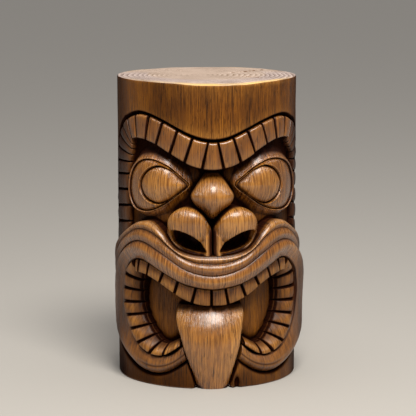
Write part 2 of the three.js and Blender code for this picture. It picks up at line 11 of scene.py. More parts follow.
import bpy
import numpy as np
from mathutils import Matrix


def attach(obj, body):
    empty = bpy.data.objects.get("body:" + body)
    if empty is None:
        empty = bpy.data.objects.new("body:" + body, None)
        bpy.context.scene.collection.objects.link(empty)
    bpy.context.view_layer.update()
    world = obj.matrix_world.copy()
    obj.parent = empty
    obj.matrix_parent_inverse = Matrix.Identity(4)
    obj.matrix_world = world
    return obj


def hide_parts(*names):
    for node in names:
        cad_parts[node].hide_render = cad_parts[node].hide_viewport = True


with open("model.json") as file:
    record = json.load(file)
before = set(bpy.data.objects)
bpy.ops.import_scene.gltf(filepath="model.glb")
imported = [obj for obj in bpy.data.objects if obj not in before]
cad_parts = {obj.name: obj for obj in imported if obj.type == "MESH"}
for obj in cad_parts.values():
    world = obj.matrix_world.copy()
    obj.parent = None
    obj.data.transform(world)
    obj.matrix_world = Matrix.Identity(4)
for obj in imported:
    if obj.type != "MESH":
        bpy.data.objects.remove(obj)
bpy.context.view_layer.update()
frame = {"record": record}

MM = 0.001
BODY = "root"
SIDES = (("right", 1), ("left", -1))

# Driving dimensions, in millimetres.
LOG_RADIUS = 150.0
LOG_HEIGHT = 505.0
BACK_SEAM = math.pi * LOG_RADIUS  # how far round the log its back centre line is
CREASE = 1.2  # width of the creases between blocks and between teeth
BROW_GROOVE = 5.0  # width of the groove above the brow
WALL_GAP = 1.5  # between the outer pieces and the wall of the hollow
PIECE_BACK = 112.5  # radius of every carved piece's hidden back
END_ROUNDING = 3.0  # of the rims of the sawn ends

# The radius that each form stands out to.
BROW_TOP = 150.0
TEMPLE_TOP = 149.0
FOLD_TOP = 159.0
UPPER_TOOTH_TOP = 149.0
LOWER_TOOTH_OUTER = 152.5
LOWER_TOOTH_INNER = 132.0


# ---- curves

def through(knots):
    """A smooth function of x through [x, y] knots, level beyond both ends."""
    x, y = np.array(knots, float).T
    order = np.arange(len(x))
    before = np.maximum(order - 1, 0)
    after = np.minimum(order + 1, len(x) - 1)
    slope = (y[after] - y[before]) / (x[after] - x[before])

    def at(value):
        value = np.clip(value, x[0], x[-1])
        i = np.clip(np.searchsorted(x, value, side="right") - 1, 0, len(x) - 2)
        width = x[i + 1] - x[i]
        t = (value - x[i]) / width
        rise = y[i] * (1 + 2 * t) * (1 - t) ** 2 + y[i + 1] * t * t * (3 - 2 * t)
        return rise + width * t * (1 - t) * (slope[i] * (1 - t) - slope[i + 1] * t)

    return at


def even_through(knots):
    """The same for a shape that is alike on both sides of the front centre line."""
    return through([[-x, y] for x, y in reversed(knots[1:])] + list(knots))


def catmull(points, i0, i1, i2, i3, t):
    """The Catmull-Rom curve through points, between the points i1 and i2."""
    p0, p1, p2, p3 = points[i0], points[i1], points[i2], points[i3]
    t = t[..., None]
    a = (p2 - p0) / 2
    b = (p3 - p1) / 2
    return (2 * p1 - 2 * p2 + a + b) * t**3 + (3 * p2 - 3 * p1 - 2 * a - b) * t**2 + a * t + p1


def rail(points):
    """A smooth open curve through the points, as a function of u from 0 to 1."""
    points = np.array(points, float)
    last = len(points) - 1

    def at(u):
        place = np.clip(np.asarray(u, float), 0, 1) * last
        i = np.clip(np.floor(place).astype(int), 0, last - 1)
        return catmull(points, np.maximum(i - 1, 0), i, i + 1, np.minimum(i + 2, last), place - i)

    return at


def loop(points, count):
    """A smooth closed outline through the points, sampled at count places."""
    points = np.array(points, float)
    size = len(points)
    place = np.arange(count) * size / count
    i = np.floor(place).astype(int)
    return catmull(points, (i - 1) % size, i, (i + 1) % size, (i + 2) % size, place - i)


def step(value, low, high):
    """A smooth step from 0 at low to 1 at high."""
    t = np.clip((value - low) / (high - low), 0, 1)
    return t * t * (3 - 2 * t)


def fade(value, low, high):
    """A smooth step down from 1 at low to 0 at high."""
    return 1 - step(value, low, high)


def eased(distance, radius, drop):
    """How far a rounded edge has fallen at a distance from it: drop at the edge, nothing beyond radius."""
    t = np.clip(1 - distance / radius, 0, 1)
    return drop * (1 - np.sqrt(np.maximum(0, 1 - t * t)))


def bump(distance, width):
    return np.exp(-((distance / width) ** 2))


# ---- the carver's hand

LATTICE = 24
lattices = {}


def rumple(s, z, wavelength, seed):
    """Smooth noise from -1 to 1 over the log's surface, the same at the back seam from both sides."""
    if seed not in lattices:
        lattices[seed] = np.random.default_rng(seed).uniform(-1, 1, (LATTICE, LATTICE, LATTICE))
    angle = s / LOG_RADIUS
    place = np.stack([LOG_RADIUS * np.sin(angle), -LOG_RADIUS * np.cos(angle), z], -1) / wavelength
    cell = np.floor(place).astype(int)
    t = place - cell
    t = t * t * (3 - 2 * t)
    total = 0
    for corner in np.ndindex(2, 2, 2):
        i, j, k = np.moveaxis((cell + corner) % LATTICE, -1, 0)
        share = np.prod(np.where(np.array(corner) == 1, t, 1 - t), -1)
        total = total + share * lattices[seed][i, j, k]
    return total


def hand_cut(s, z):
    """Where a line drawn at (s, z) was really cut: every outline wanders a little, but the foot is level."""
    return s + 0.9 * rumple(s, z, 34, 11), z + 0.8 * rumple(s, z, 31, 12) * step(z, 0, 12)


def tool_marks(s, z):
    """The shallow facets that the gouge left, in millimetres."""
    return 0.32 * rumple(s, z, 13, 21) + 0.14 * rumple(s, z, 5.5, 22)


# ---- forms

class Form:
    """A closed mesh on the unrolled log: vertices as s, z and r, and faces as lists of vertex numbers."""

    def __init__(self, name):
        self.name = name
        self.vertices = []
        self.inks_and_shades = []
        self.count = 0
        self.quads = []
        self.others = []
        self.merged = {}  # vertices that are really others, across the back seam

    def add(self, s, z, r, ink_and_shade=0.0):
        """Adds vertices and returns their numbers, in the shape that they came in. The last value says how
        much darker the wood is painted there, with dark stain and painted shade, or, below nothing, how
        much lighter, as wood rubbed bare and painted highlight."""
        s, z, r, ink_and_shade = np.broadcast_arrays(np.asarray(s, float), z, r, ink_and_shade)
        numbers = self.count + np.arange(s.size).reshape(s.shape)
        self.vertices.append(np.stack([s.ravel(), z.ravel(), r.ravel()], 1))
        self.inks_and_shades.append(ink_and_shade.ravel())
        self.count += s.size
        return numbers

    def grid(self, numbers):
        corners = [numbers[:-1, :-1], numbers[1:, :-1], numbers[1:, 1:], numbers[:-1, 1:]]
        self.quads.append(np.stack([corner.ravel() for corner in corners], 1))

    def tube(self, loops):
        """Faces between loops of equal counts, each loop closed."""
        for one, two in zip(loops[:-1], loops[1:]):
            self.quads.append(np.stack([one, two, np.roll(two, -1), np.roll(one, -1)], 1))

    def fan(self, ring, s, z, r, ink_and_shade=0.0):
        """Closes a ring with triangles round one more vertex."""
        centre = self.add([s], [z], [r], ink_and_shade)[0]
        self.others += [[a, centre, b] for a, b in zip(ring, np.roll(ring, -1))]

    def points(self):
        return np.concatenate(self.vertices)

    def wall(self, rim):
        """The wall from a rim down to the hidden back. Returns the lowest ring."""
        s, z, r = self.points()[rim].T
        loops = [rim]
        # The wall is painted darker the further back it goes: stain and painted shade in the hollow.
        for share in (0.04, 0.12, 0.3, 0.55, 0.8, 1.0):
            loops.append(self.add(s, z, r + (PIECE_BACK - r) * share, 0.4 + 0.6 * min(1.0, share * 1.6)))
        self.tube(loops)
        return loops[-1]


def slab(name, patch, top, us, vs, ink_and_shade):
    """A solid over a four-sided patch, from the hidden back out to the radius that top gives."""
    form = Form(name)
    u, v = np.meshgrid(us, vs, indexing="ij")
    s, z = hand_cut(*patch(u, v))
    numbers = form.add(s, z, top(u, v) + tool_marks(s, z), ink_and_shade(u, v))
    form.grid(numbers)
    sides = [numbers[:, 0], numbers[-1, 1:-1], numbers[::-1, -1], numbers[0, -2:0:-1]]
    lowest = form.wall(np.concatenate(sides))
    a, b, c, d = np.split(lowest, np.cumsum([len(side) for side in sides])[:-1])
    c = c[::-1]
    form.quads.append(np.stack([a[1:-2], c[1:-2], c[2:-1], a[2:-1]], 1))
    form.others.append([*d[::-1], c[0], c[1], a[1], a[0]])
    form.others.append([a[-2], c[-2], c[-1], *b[::-1], a[-1]])
    return form


def dome(name, outline, centre, top, ts):
    """A solid over a star-shaped outline, sampled on the outline shrunk to its centre by each of ts."""
    form = Form(name)
    t = np.asarray(ts, float)[:, None]
    s = centre[0] + t * (outline[:, 0] - centre[0])
    z = centre[1] + t * (outline[:, 1] - centre[1])
    r = top(np.broadcast_to(t, s.shape), s, z)
    s, z = hand_cut(s, z)
    # Each dome is painted darker round its foot: stain and painted shade.
    rings = form.add(s, z, r + tool_marks(s, z), 0.6 * step(t, 0.86, 1.0))
    form.tube(list(rings[::-1]))
    middle = np.array(centre, float)
    height = top(0.0, *middle) + tool_marks(*middle)
    form.fan(rings[-1][::-1], *hand_cut(*middle), height)
    form.fan(form.wall(rings[0]), *centre, PIECE_BACK)
    return form


def hoop(name, hand, rings):
    """A ring-shaped solid through a cycle of loops, each an outline, its radius and how dark it is painted
    there, with stain and painted shade, or below nothing how light, with painted highlight.
    """
    form = Form(name)
    loops = []
    for outline, radius, ink_and_shade in rings:
        loops.append(form.add(*hand_cut(hand * outline[:, 0], outline[:, 1]), radius, ink_and_shade))
    form.tube(loops + loops[:1])
    return form


def between(outer, inner):
    """The patch between two edges: u runs along them, and v from the outer to the inner one."""

    def patch(u, v):
        place = outer(u) + (inner(u) - outer(u)) * v[..., None]
        return place[..., 0], place[..., 1]

    return patch


def stations(length, pitch, margin=0.0, fine=(0, 0.35, 0.8, 1.4, 2.2, 3.2)):
    """Places across a piece as shares of its length, close together near both of its edges."""
    near = margin + np.array(fine)
    count = max(2, round((length - 2 * near[-1]) / pitch))
    middle = np.linspace(near[-1], length - near[-1], count + 1)[1:-1]
    return np.concatenate([near, middle, length - near[::-1]]) / length


# ---- brow

brow_upper_edge = through([
    [-172, 438], [-152, 445.5], [-132, 448.5], [-108, 445], [-85, 437], [-62, 426], [-42, 416.5],
    [-20, 409], [0, 406], [20, 409], [42, 416.5], [62, 424.5], [85, 434.5], [108, 441], [132, 444],
    [152, 441.5], [172, 434],
])
brow_lower_edge = even_through([
    [0, 362], [18, 364], [37, 369], [57, 379], [77, 390], [98, 400], [120, 407], [142, 409], [155, 406],
])
# Where the creases between the blocks meet the brow's upper and lower edge, on one half.
BROW_CUTS = [(8, 18), (34, 47), (60, 73), (87, 99), (115, 121), (146, 142), (172, 155)]
# The blocks lean and stand proud by a little of their own: the spread of that, in millimetres.
BLOCK_LEAN = 1.1


def block(name, patch, top, width, length, bevel, seed, swell=1.5, shade=0.16):
    """One tooth or brow block: rounded along its creases, with a wide bevel on its upper edge."""
    margin = CREASE / 2
    lean_u, lean_v, proud = np.random.default_rng(seed).normal(0, BLOCK_LEAN, 3)

    def off_crease(u):
        return np.minimum(u, 1 - u) * width - margin

    def surface(u, v):
        fall = eased(off_crease(u), 3.2, 5.0) + eased(v * length, bevel, 0.8 * bevel)
        fall = fall + eased((1 - v) * length, 3.0, 3.0)
        pillow = swell * np.sin(np.pi * u) * np.sin(np.pi * v)
        return top(u, v) - fall + pillow - 0.6 + lean_u * (u - 0.5) + lean_v * (v - 0.5) + 0.3 * proud

    def ink_and_shade(u, v):
        # Painted dark in the creases and at the lower edge (stain and painted shade), darker towards the
        # lower edge by shade (painted shade), and lighter on the upper bevel, a painted highlight.
        low = 0.7 * fade((1 - v) * length, 0.0, 2.0) + shade * step(v, 0.35, 1.0)
        bevel_highlight = 0.6 * bump(v * length - 2.5, 1.6) * step(off_crease(u), 1.5, 3.0)
        return np.maximum(fade(off_crease(u), 0.8, 2.5), low) - bevel_highlight

    return slab(name, patch, surface, stations(width, 2.0, margin), stations(length, 2.4), ink_and_shade)


def cut_patch(hand, inner_cut, outer_cut, upper_edge, lower_edge):
    """The patch between two creases, each (s at the upper edge, s at the lower edge)."""

    def patch(u, v):
        top = hand * (inner_cut[0] + (outer_cut[0] - inner_cut[0]) * u)
        bottom = hand * (inner_cut[1] + (outer_cut[1] - inner_cut[1]) * u)
        top_z = upper_edge(top)
        return top + (bottom - top) * v, top_z + (lower_edge(bottom) - top_z) * v

    return patch


def brow_block(name, hand, inner_cut, outer_cut, seed):
    width = (outer_cut[0] - inner_cut[0] + outer_cut[1] - inner_cut[1]) / 2
    patch = cut_patch(hand, inner_cut, outer_cut, brow_upper_edge, brow_lower_edge)
    return block(name, patch, lambda u, v: BROW_TOP, width, length=42, bevel=4.5, seed=seed)


def brow_forms():
    first = BROW_CUTS[0]
    forms = [brow_block("brow_block_centre", 1, (-first[0], -first[1]), first, 100)]
    for side, hand in SIDES:
        for i, cuts in enumerate(zip(BROW_CUTS, BROW_CUTS[1:]), 1):
            forms.append(brow_block(f"brow_block_{side}_{i}", hand, *cuts, 100 + hand * i))
    return forms


# ---- temples

# The notched bands beside the eyes, as pairs of places on the outer and the inner edge.
TEMPLE_SECTIONS = [
    [[173.5, 434], [156.5, 405.5]], [[192, 425], [156, 397]], [[208, 409], [157, 389]],
    [[220, 388], [159, 379]], [[229, 364], [163, 367]], [[235, 339], [167.5, 347]],
    [[237, 313], [168.5, 321]], [[238, 285], [168.5, 294.5]], [[238, 258], [168, 267.5]],
    [[237, 207], [168, 255]],
]
# The right eye reaches further round than the left one, so the band beside it is narrower.
RIGHT_EYE_REACH = 19
NOTCH_DEPTH = 8.0
NOTCH_HALF_WIDTH = 1.5
NOTCH_STEP = 26.0  # from one notch to the next, about
TEMPLE_WIDTH = 50


def reach(hand, share):
    """How far a place near the right eye's outer end is moved outwards."""
    return RIGHT_EYE_REACH * np.clip(share, 0, 1) ** 2 if hand > 0 else 0 * share


def temple_outer_edge(hand):
    """The outer edge of one band, which starts where the brow's upper edge ends."""
    edge = [[hand * outer[0], outer[1]] for outer, _ in TEMPLE_SECTIONS]
    edge[0][1] = float(brow_upper_edge(edge[0][0]))
    return edge


def temple_form(side, hand):
    notches = len(TEMPLE_SECTIONS) - 1
    outer = rail(temple_outer_edge(hand))
    shifts = [reach(hand, i / 3) for i in range(notches + 1)]
    inner = rail([[hand * (p[0] + shift), p[1]] for (_, p), shift in zip(TEMPLE_SECTIONS, shifts)])
    inside = stations(NOTCH_STEP, 2.4, fine=(0, 0.5, 1.0, 1.6, 2.3, 3.2))
    us = np.concatenate([(i + inside[:-1]) / notches for i in range(notches)] + [[1.0]])

    def off_notch(u):
        return np.abs(u * notches - np.round(u * notches)) * NOTCH_STEP

    def surface(u, v):
        fall = NOTCH_DEPTH * bump(off_notch(u), NOTCH_HALF_WIDTH) + eased(off_notch(u), 4.0, 1.6)
        pillow = 1.2 * np.sin(np.pi * off_notch(u) / NOTCH_STEP)
        return TEMPLE_TOP - fall + pillow - eased(np.minimum(v, 1 - v) * TEMPLE_WIDTH, 4.0, 4.0)

    def ink_and_shade(u, v):
        # The band is painted dark all over and darker beside the eye (painted shade), and dark in its notches
        # (stain and painted shade).
        shade_beside_eye = 0.5 * fade((1 - v) * TEMPLE_WIDTH, 0, 8)
        return np.maximum(fade(off_notch(u), 1.2, 3.0), np.maximum(shade_beside_eye, 0.42))

    return slab(f"temple_band_{side}", between(outer, inner), surface, us, stations(TEMPLE_WIDTH, 3.0), ink_and_shade)


# ---- eyes

# Matching places round each outline, from the inner corner over the top. The mound is the foot of
# the eyelid's outer slope, the lid is its crest.
EYE_MOUND = [
    [36, 336], [43, 365], [66, 384], [101, 398], [132, 397], [155, 374], [168, 336], [167, 303],
    [152, 282], [117, 277], [81, 286], [49, 305],
]
EYE_LID = [
    [42, 335], [57, 351], [79, 368], [105, 377.5], [133, 375], [154, 360], [166, 334], [163.5, 309],
    [147, 291.5], [119, 288.5], [89, 299], [63, 317],
]
EYE_IRIS = [
    [47, 335], [59, 348], [73, 361], [89, 367.5], [106, 363.5], [120.5, 352], [128.5, 336],
    [124.5, 320], [112, 308.5], [94, 303.5], [76, 310], [60, 322],
]
EYE_CENTRE = np.array([95.0, 335.0])
EYE_HALF_WIDTH = 71
EYE_SAMPLES = 144
lid_crest = even_through([[0, 116], [41, 130], [80, 141], [120, 147], [166, 148.5], [190, 149.5]])
# Distances in from the lid's crest, and heights there: a thin raised rim, then the drop to the eye.
LID_RIM = [(-0.6, 0.2), (0, 1.0), (0.6, 1.3), (1.2, 1.0), (1.7, 0.1), (2.1, -1.0), (2.4, -2.4)]


def drawn_in(outline, distance):
    """The outline moved towards the eye's centre by a distance."""
    away = outline - EYE_CENTRE
    return outline - away * distance / np.linalg.norm(away, axis=1, keepdims=True)


def eye_outline(points, hand):
    """An outline of one eye, drawn on the +s side."""
    return loop([[s + reach(hand, (s - EYE_CENTRE[0]) / EYE_HALF_WIDTH), z] for s, z in points], EYE_SAMPLES)


def eyelid_form(side, hand, mound, lid):
    foot = floor_at(*mound.T) - 1.5
    rings = [(mound, PIECE_BACK, 1.0)]
    for share in np.linspace(0, 0.93, 14):
        outline = mound + (lid - mound) * share
        s, z = outline.T
        swell = 0.45 * share + 0.55 * step(share, 0, 1)
        # The mound's foot is painted dark, more widely on its upper side under the brow: stain and painted
        # shade.
        shade_under_brow = step(z, 340, 370)
        ink_and_shade = (0.6 + 0.25 * shade_under_brow) * fade(share, 0.15 + 0.3 * shade_under_brow, 0.85 + 0.15 * shade_under_brow)
        rings.append((outline, foot + (lid_crest(s) - foot) * swell + tool_marks(s, z), ink_and_shade))
    for inwards, height in LID_RIM:
        # Painted lighter on the lid's crest (painted highlight) and dark where the lid drops to the eye
        # (painted shade).
        ink_and_shade = 0.8 * step(inwards, 1.4, 2.2) - 0.8 * bump(inwards - 0.5, 0.8)
        rings.append((drawn_in(lid, inwards), lid_crest(lid[:, 0]) + height, ink_and_shade))
    rings.append((drawn_in(lid, LID_RIM[-1][0]), PIECE_BACK, 1.0))
    return hoop(f"eyelid_{side}", hand, rings)


def eyeball_form(side, hand, lid, iris):
    """The white of the eye, with a thin raised line round the iris."""
    outer = drawn_in(lid, 2.7)
    gap = np.linalg.norm(outer - iris, axis=1)
    rings = [(outer, PIECE_BACK, 1.0)]
    for share in np.concatenate([np.linspace(0, 0.72, 12), np.linspace(0.76, 1, 12)]):
        outline = outer + (iris - outer) * share
        off_iris = (1 - share) * gap
        line = 1.9 * bump(off_iris - 2.7, 1.3) * step(gap, 5, 12)
        roundness = 8.5 * (1 - (1 - share) ** 2) - 3.0
        height = roundness + line - 3.0 * bump(off_iris, 1.1)
        # Painted dark at the iris's edge and at the lid's foot (stain and painted shade), and lighter on the
        # raised line round the iris, a painted highlight.
        dark = np.maximum(0.9 * bump(off_iris, 1.0), 0.5 * bump(gap - off_iris, 1.0))
        ink_and_shade = dark - 0.9 * bump(off_iris - 2.8, 1.1)
        rings.append((outline, lid_crest(outline[:, 0]) + height, ink_and_shade))
    rings.append((iris, PIECE_BACK, 1.0))
    return hoop(f"eyeball_{side}", hand, rings)


def iris_form(side, hand, iris):
    def bulge(t, s, z):
        return lid_crest(s) - 0.5 + 15.0 * np.maximum(0, 1 - t**2) ** 0.55

    outline = drawn_in(iris, 0.5) * [hand, 1]
    ts = [1, 0.985, 0.96, 0.93, 0.89, 0.84, *np.linspace(0.78, 0.02, 18)]
    return dome(f"iris_{side}", outline, EYE_CENTRE * [hand, 1], bulge, ts)


def eye_forms():
    forms = []
    iris = loop(EYE_IRIS, EYE_SAMPLES)
    for side, hand in SIDES:
        mound, lid = eye_outline(EYE_MOUND, hand), eye_outline(EYE_LID, hand)
        forms += [eyelid_form(side, hand, mound, lid), eyeball_form(side, hand, lid, iris)]
        forms.append(iris_form(side, hand, iris))
    return forms


# ---- nose

BRIDGE_HALF = [
    [0, 358], [12, 356], [22, 346], [31, 333], [38, 320], [33, 307], [23, 297], [11, 287], [0, 281],
]
bridge_keel = through([[284, 151], [300, 157], [318, 159], [335, 153], [350, 142], [359, 134]])

# Matching places round one wing of the nose and round the nostril in it, from the outer side over
# the top to the pillar beside the middle and back along the lip.
WING_SECTIONS = np.array([
    [[79, 257], [70, 256]], [[77, 269], [68, 262]], [[74, 280], [62, 264.5]], [[66, 291], [55, 265]],
    [[54, 299], [48, 263.5]], [[41, 301], [41, 261]], [[27, 297], [34, 257]], [[16, 288], [28, 252.5]],
    [[8, 276], [22.5, 247]], [[1.6, 264], [18, 241.5]], [[1.2, 251], [14.5, 236.5]],
    [[1.4, 236], [10.5, 230.5]], [[3, 222.8], [12, 226.5]], [[15, 223], [20, 226]],
    [[28, 224.2], [30, 228]], [[40, 226.6], [40, 230.5]], [[52, 230], [50, 233.5]],
    [[65, 238.6], [60, 239]], [[74, 249.5], [68, 247]],
])
NOSTRIL_CENTRE = np.array([45.0, 249.0])
NOSTRIL_FLOOR = 116.0
WING_SAMPLES = 190


def wing_skin(s, z):
    """The radius of a wing's skin: a ball over the nostril, a pillar beside the middle, a low rim outside."""
    reach_down = np.where(z > 277, 27, 40)
    off = ((s - 41) / 37) ** 2 + ((z - 277) / reach_down) ** 2
    ball = 145 + 25 * np.sqrt(np.maximum(0.0, 1 - off))
    pillar = 149 + 8.5 * bump(s - 10, 6) * fade(z, 250, 268)
    rim = 144 + 5 * bump(z - 224, 10)
    blend = 4.0  # how softly the shapes run into each other
    return blend * np.log(np.exp(ball / blend) + np.exp(pillar / blend) + np.exp(rim / blend)) - 2.0


def wing_form(side, hand):
    """One wing of the nose, as rings from its outer edge to the nostril's rim and down inside it."""
    outer, rim = (loop(WING_SECTIONS[:, i], WING_SAMPLES) for i in (0, 1))
    form = Form(f"nose_wing_{side}")
    rings = []
    rounding = 1.0 + 4.0 * step(outer[:, 1], 232, 262)
    for share in [0, 0.008, 0.02, 0.04, *np.linspace(0.07, 0.9, 24), 0.94, 0.965, 0.985, 1]:
        place = outer + (rim - outer) * share
        s, z = place.T
        off_edge, off_rim = (np.linalg.norm(place - line, axis=1) for line in (outer, rim))
        r = wing_skin(s, z) - eased(off_edge, rounding, rounding) - eased(off_rim, 2.0, 2.0)
        # The wing is painted dark low down under the nostril (painted shadow) and in the seam between the two
        # pillars (stain and painted shade).
        shade_under_nostril = 0.8 * fade(outer[:, 1], 226, 242) * step(s, 8, 18)
        shade_in_pillar_seam = 0.85 * fade(s, 3, 9) * fade(z, 256, 284)
        ink_and_shade = np.maximum(shade_under_nostril, shade_in_pillar_seam)
        rings.append(form.add(*hand_cut(hand * s, z), r + tool_marks(hand * s, z), ink_and_shade))
    rim_r = form.points()[rings[-1]][:, 2]
    for share in [0.03, 0.07, 0.12, 0.18, 0.25, 0.33, 0.42, 0.52, 0.63, 0.75, 0.88]:
        s, z = (rim + (NOSTRIL_CENTRE - rim) * share).T
        # Under the ball the hole drops at once, and along the lip it slopes in.
        steep = 1 - (1 - np.clip(share * 3.2, 0, 1)) ** 2
        sloping = 1 - (1 - np.clip(share * 1.8, 0, 1)) ** 1.5
        down = sloping + (steep - sloping) * step(rim[:, 1], 238, 250)
        r = rim_r + (NOSTRIL_FLOOR - rim_r) * down
        # Inside the nostril it is painted dark: painted shade.
        rings.append(form.add(*hand_cut(hand * s, z), r, step(share, 0.0, 0.12)))
    form.tube(rings[::-1])
    middle = NOSTRIL_CENTRE * [hand, 1]
    form.fan(rings[-1][::-1], *middle, NOSTRIL_FLOOR, 1.0)
    form.fan(form.wall(rings[0]), *middle, PIECE_BACK)
    return form


def nose_forms():
    def bridge(t, s, z):
        keel = bridge_keel(z) - 17 * (1 - np.maximum(0, 1 - t**2.3) ** 0.6)
        return keel + 2.4 * bump(s, 15) - 1.5

    outline = loop(BRIDGE_HALF + [[-s, z] for s, z in BRIDGE_HALF[-2:0:-1]], 128)
    ts = [1, 0.99, 0.97, 0.94, 0.9, 0.85, *np.linspace(0.79, 0.02, 18)]
    forms = [dome("nose_bridge", outline, [0, 320], bridge, ts)]
    return forms + [wing_form(side, hand) for side, hand in SIDES]


# ---- mouth

# One half of the mouth, from the middle of the upper lip round the corner to the tongue. Each pair
# holds the places where one cross-section meets the lip's outer and inner edge.
LIP_OUTER, LIP_INNER = np.swapaxes([
    [[0, 189.5], [0, 167]], [[25, 193], [23, 169]], [[48, 202], [45, 174]], [[70, 215], [66, 183]],
    [[91, 228], [87, 193]], [[111, 238], [108, 202]], [[132, 241], [129, 208]], [[154, 234], [150, 206.5]],
    [[180, 217], [168, 197]], [[207, 194], [181, 181]], [[230, 168], [187, 163]], [[243, 138], [189, 145]],
    [[246, 110], [185, 126]], [[234, 82], [176, 106]], [[205, 58], [163, 86.5]], [[172, 40], [147, 68]],
    [[143, 27], [126, 55]], [[115, 20], [104, 49]], [[88, 22], [84, 50.5]], [[66, 31], [67, 57]],
    [[43.5, 47], [50.5, 71]],
], 0, 1)
# The same sections' places on the two folds above the lip: the cheek's upper edge, and the crease
# between the folds. The folds run out down the side of the head.
CHEEK_EDGE, FOLD_CREASE = np.swapaxes([
    [[0, 221.5], [0, 208.5]], [[27, 223.5], [26, 212]], [[51, 229], [50, 221]], [[66, 238.5], [70, 235]],
    [[83, 259], [90, 251]], [[103, 275], [111, 260]], [[126, 273.5], [134, 260]], [[150, 262], [156, 250]],
    [[181, 244], [184, 233]], [[212, 223], [213, 209]], [[236, 199], [236, 180]], [[247, 172], [246, 149]],
], 0, 1)
SOFT_CREASE = 0.12  # half the gap between the folds and the lip, which run into each other
FOLD_WIDTH = 18
LIP_WIDTH = 26
LIP_OUTER_FALL = 4.0  # from the lip's crest to its outer edge
LIP_LOWER_FALL = 6.0  # and that much more along the lower lip
# Along the mouth from its left end (-1) to its right end (1): how far the folds and the lip's crest
# stand from the axis, where across the lip the crest runs, and how far the lip falls to its inner edge.
fold_crest = even_through([[0, FOLD_TOP], [0.6, FOLD_TOP + 1], [0.85, 156], [1, 151]])
lip_crest = through([
    [-1, 154], [-0.85, 155], [-0.5, 156.5], [-0.3, 160], [0, 161], [0.3, 162], [0.5, 165], [0.65, 163],
    [0.85, 156], [1, 154],
])
lip_crest_place = even_through([
    [0, 0.5], [0.25, 0.42], [0.36, 0.28], [0.5, 0.16], [0.65, 0.2], [0.8, 0.42], [1, 0.45],
])
lip_inner_fall = even_through([[0, 7], [0.2, 8], [0.34, 13], [0.45, 10], [0.62, 9], [0.75, 8], [1, 6]])


def edge_over(half, share=1.0):
    """The middle share of an edge that runs over both halves of the face, for u from 0 to 1."""
    curve = rail(np.concatenate([half[:0:-1] * [-1, 1], half]))
    return lambda u: curve(0.5 + (u - 0.5) * share)


def band(name, outer_edge, inner_edge, surface, ink_and_shade, steps=250, width=FOLD_WIDTH):
    """A band between two edges. surface gives r from u and from v, which runs across the band."""

    def patch(u, v):
        margin = SOFT_CREASE / np.linalg.norm(outer_edge(u) - inner_edge(u), axis=-1)
        return between(outer_edge, inner_edge)(u, margin + v * (1 - 2 * margin))

    return slab(name, patch, surface, np.linspace(0, 1, steps + 1), stations(width, 1.6), ink_and_shade)


def fold_surface(fall):
    """A soft ridge that falls away to a crease on either side."""

    def surface(u, v):
        wave = 0.5 - 0.5 * np.cos(2 * np.pi * (v - 0.5))
        off_crease = np.minimum(v, 1 - v) * FOLD_WIDTH
        return fold_crest(2 * u - 1) + 1 - fall * wave - eased(off_crease, 1.2, 0.9)

    return surface


def fold_ink_and_shade(u, v):
    """The creases beside a fold are painted dark: stain and painted shade."""
    return 0.08 + 0.26 * fade(np.minimum(v, 1 - v) * FOLD_WIDTH, 0.4, 2.6)


def cheek_fold_ink_and_nose_shadow(u, v):
    """The uppermost fold is painted dark under the nose as well, a painted shadow of the nose."""
    under_nose = fade(np.abs(2 * u - 1), 0.3, 0.5)
    return np.maximum(fold_ink_and_shade(u, v), 0.6 * under_nose * fade(v, 0.05, 0.4))


def lower_crease(u, v):
    """The soft crease that parts the lower lip into two rolls: 1 in it, and nothing away from it."""
    return bump(v - 0.45, 0.08) * step(np.abs(2 * u - 1), 0.74, 0.86)


def lip_surface(u, v):
    along = 2 * u - 1
    crest_at = lip_crest_place(along)
    outside = np.maximum(0, (crest_at - v) / crest_at)
    inside = np.maximum(0, (v - crest_at) / (1 - crest_at))
    outer_fall = LIP_OUTER_FALL + LIP_LOWER_FALL * step(np.abs(along), 0.45, 0.6)
    fall = outer_fall * outside**1.8 + lip_inner_fall(along) * (1 - (1 - inside) ** 1.3) * inside**0.5
    fall = fall + 2.0 * lower_crease(u, v)
    return lip_crest(along) - fall - eased(v * LIP_WIDTH, 1.4, 1.6) - eased((1 - v) * LIP_WIDTH, 1.0, 1.0)


def lip_ink_and_shade(u, v):
    """The lip is painted dark in its creases, along the teeth and at its outer edge, with stain and painted
    shade, and painted shade darkens it all round the lower half of the mouth.
    """
    lower_lip_shade = 0.34 * step(np.abs(2 * u - 1), 0.5, 0.75) * (1 - 0.6 * v)
    along_teeth = 0.6 * fade((1 - v) * LIP_WIDTH, 0.3, 3.0)
    outer_edge = 0.5 * fade(v * LIP_WIDTH, 0.5, 3.5)
    return np.maximum.reduce([lower_lip_shade, along_teeth, outer_edge, 0.6 * lower_crease(u, v)])


def lip_and_fold_forms():
    crease = edge_over(FOLD_CREASE)
    fold_end = (len(FOLD_CREASE) - 1) / (len(LIP_OUTER) - 1)  # how far along the lip the folds run
    lip_under_fold = edge_over(LIP_OUTER, fold_end)
    lips = band("lips", edge_over(LIP_OUTER), edge_over(LIP_INNER), lip_surface, lip_ink_and_shade, steps=420, width=28)
    cheek_fold = band("cheek_fold", edge_over(CHEEK_EDGE), crease, fold_surface(3.9), cheek_fold_ink_and_nose_shadow)
    return [lips, cheek_fold, band("middle_fold", crease, lip_under_fold, fold_surface(3.4), fold_ink_and_shade)]


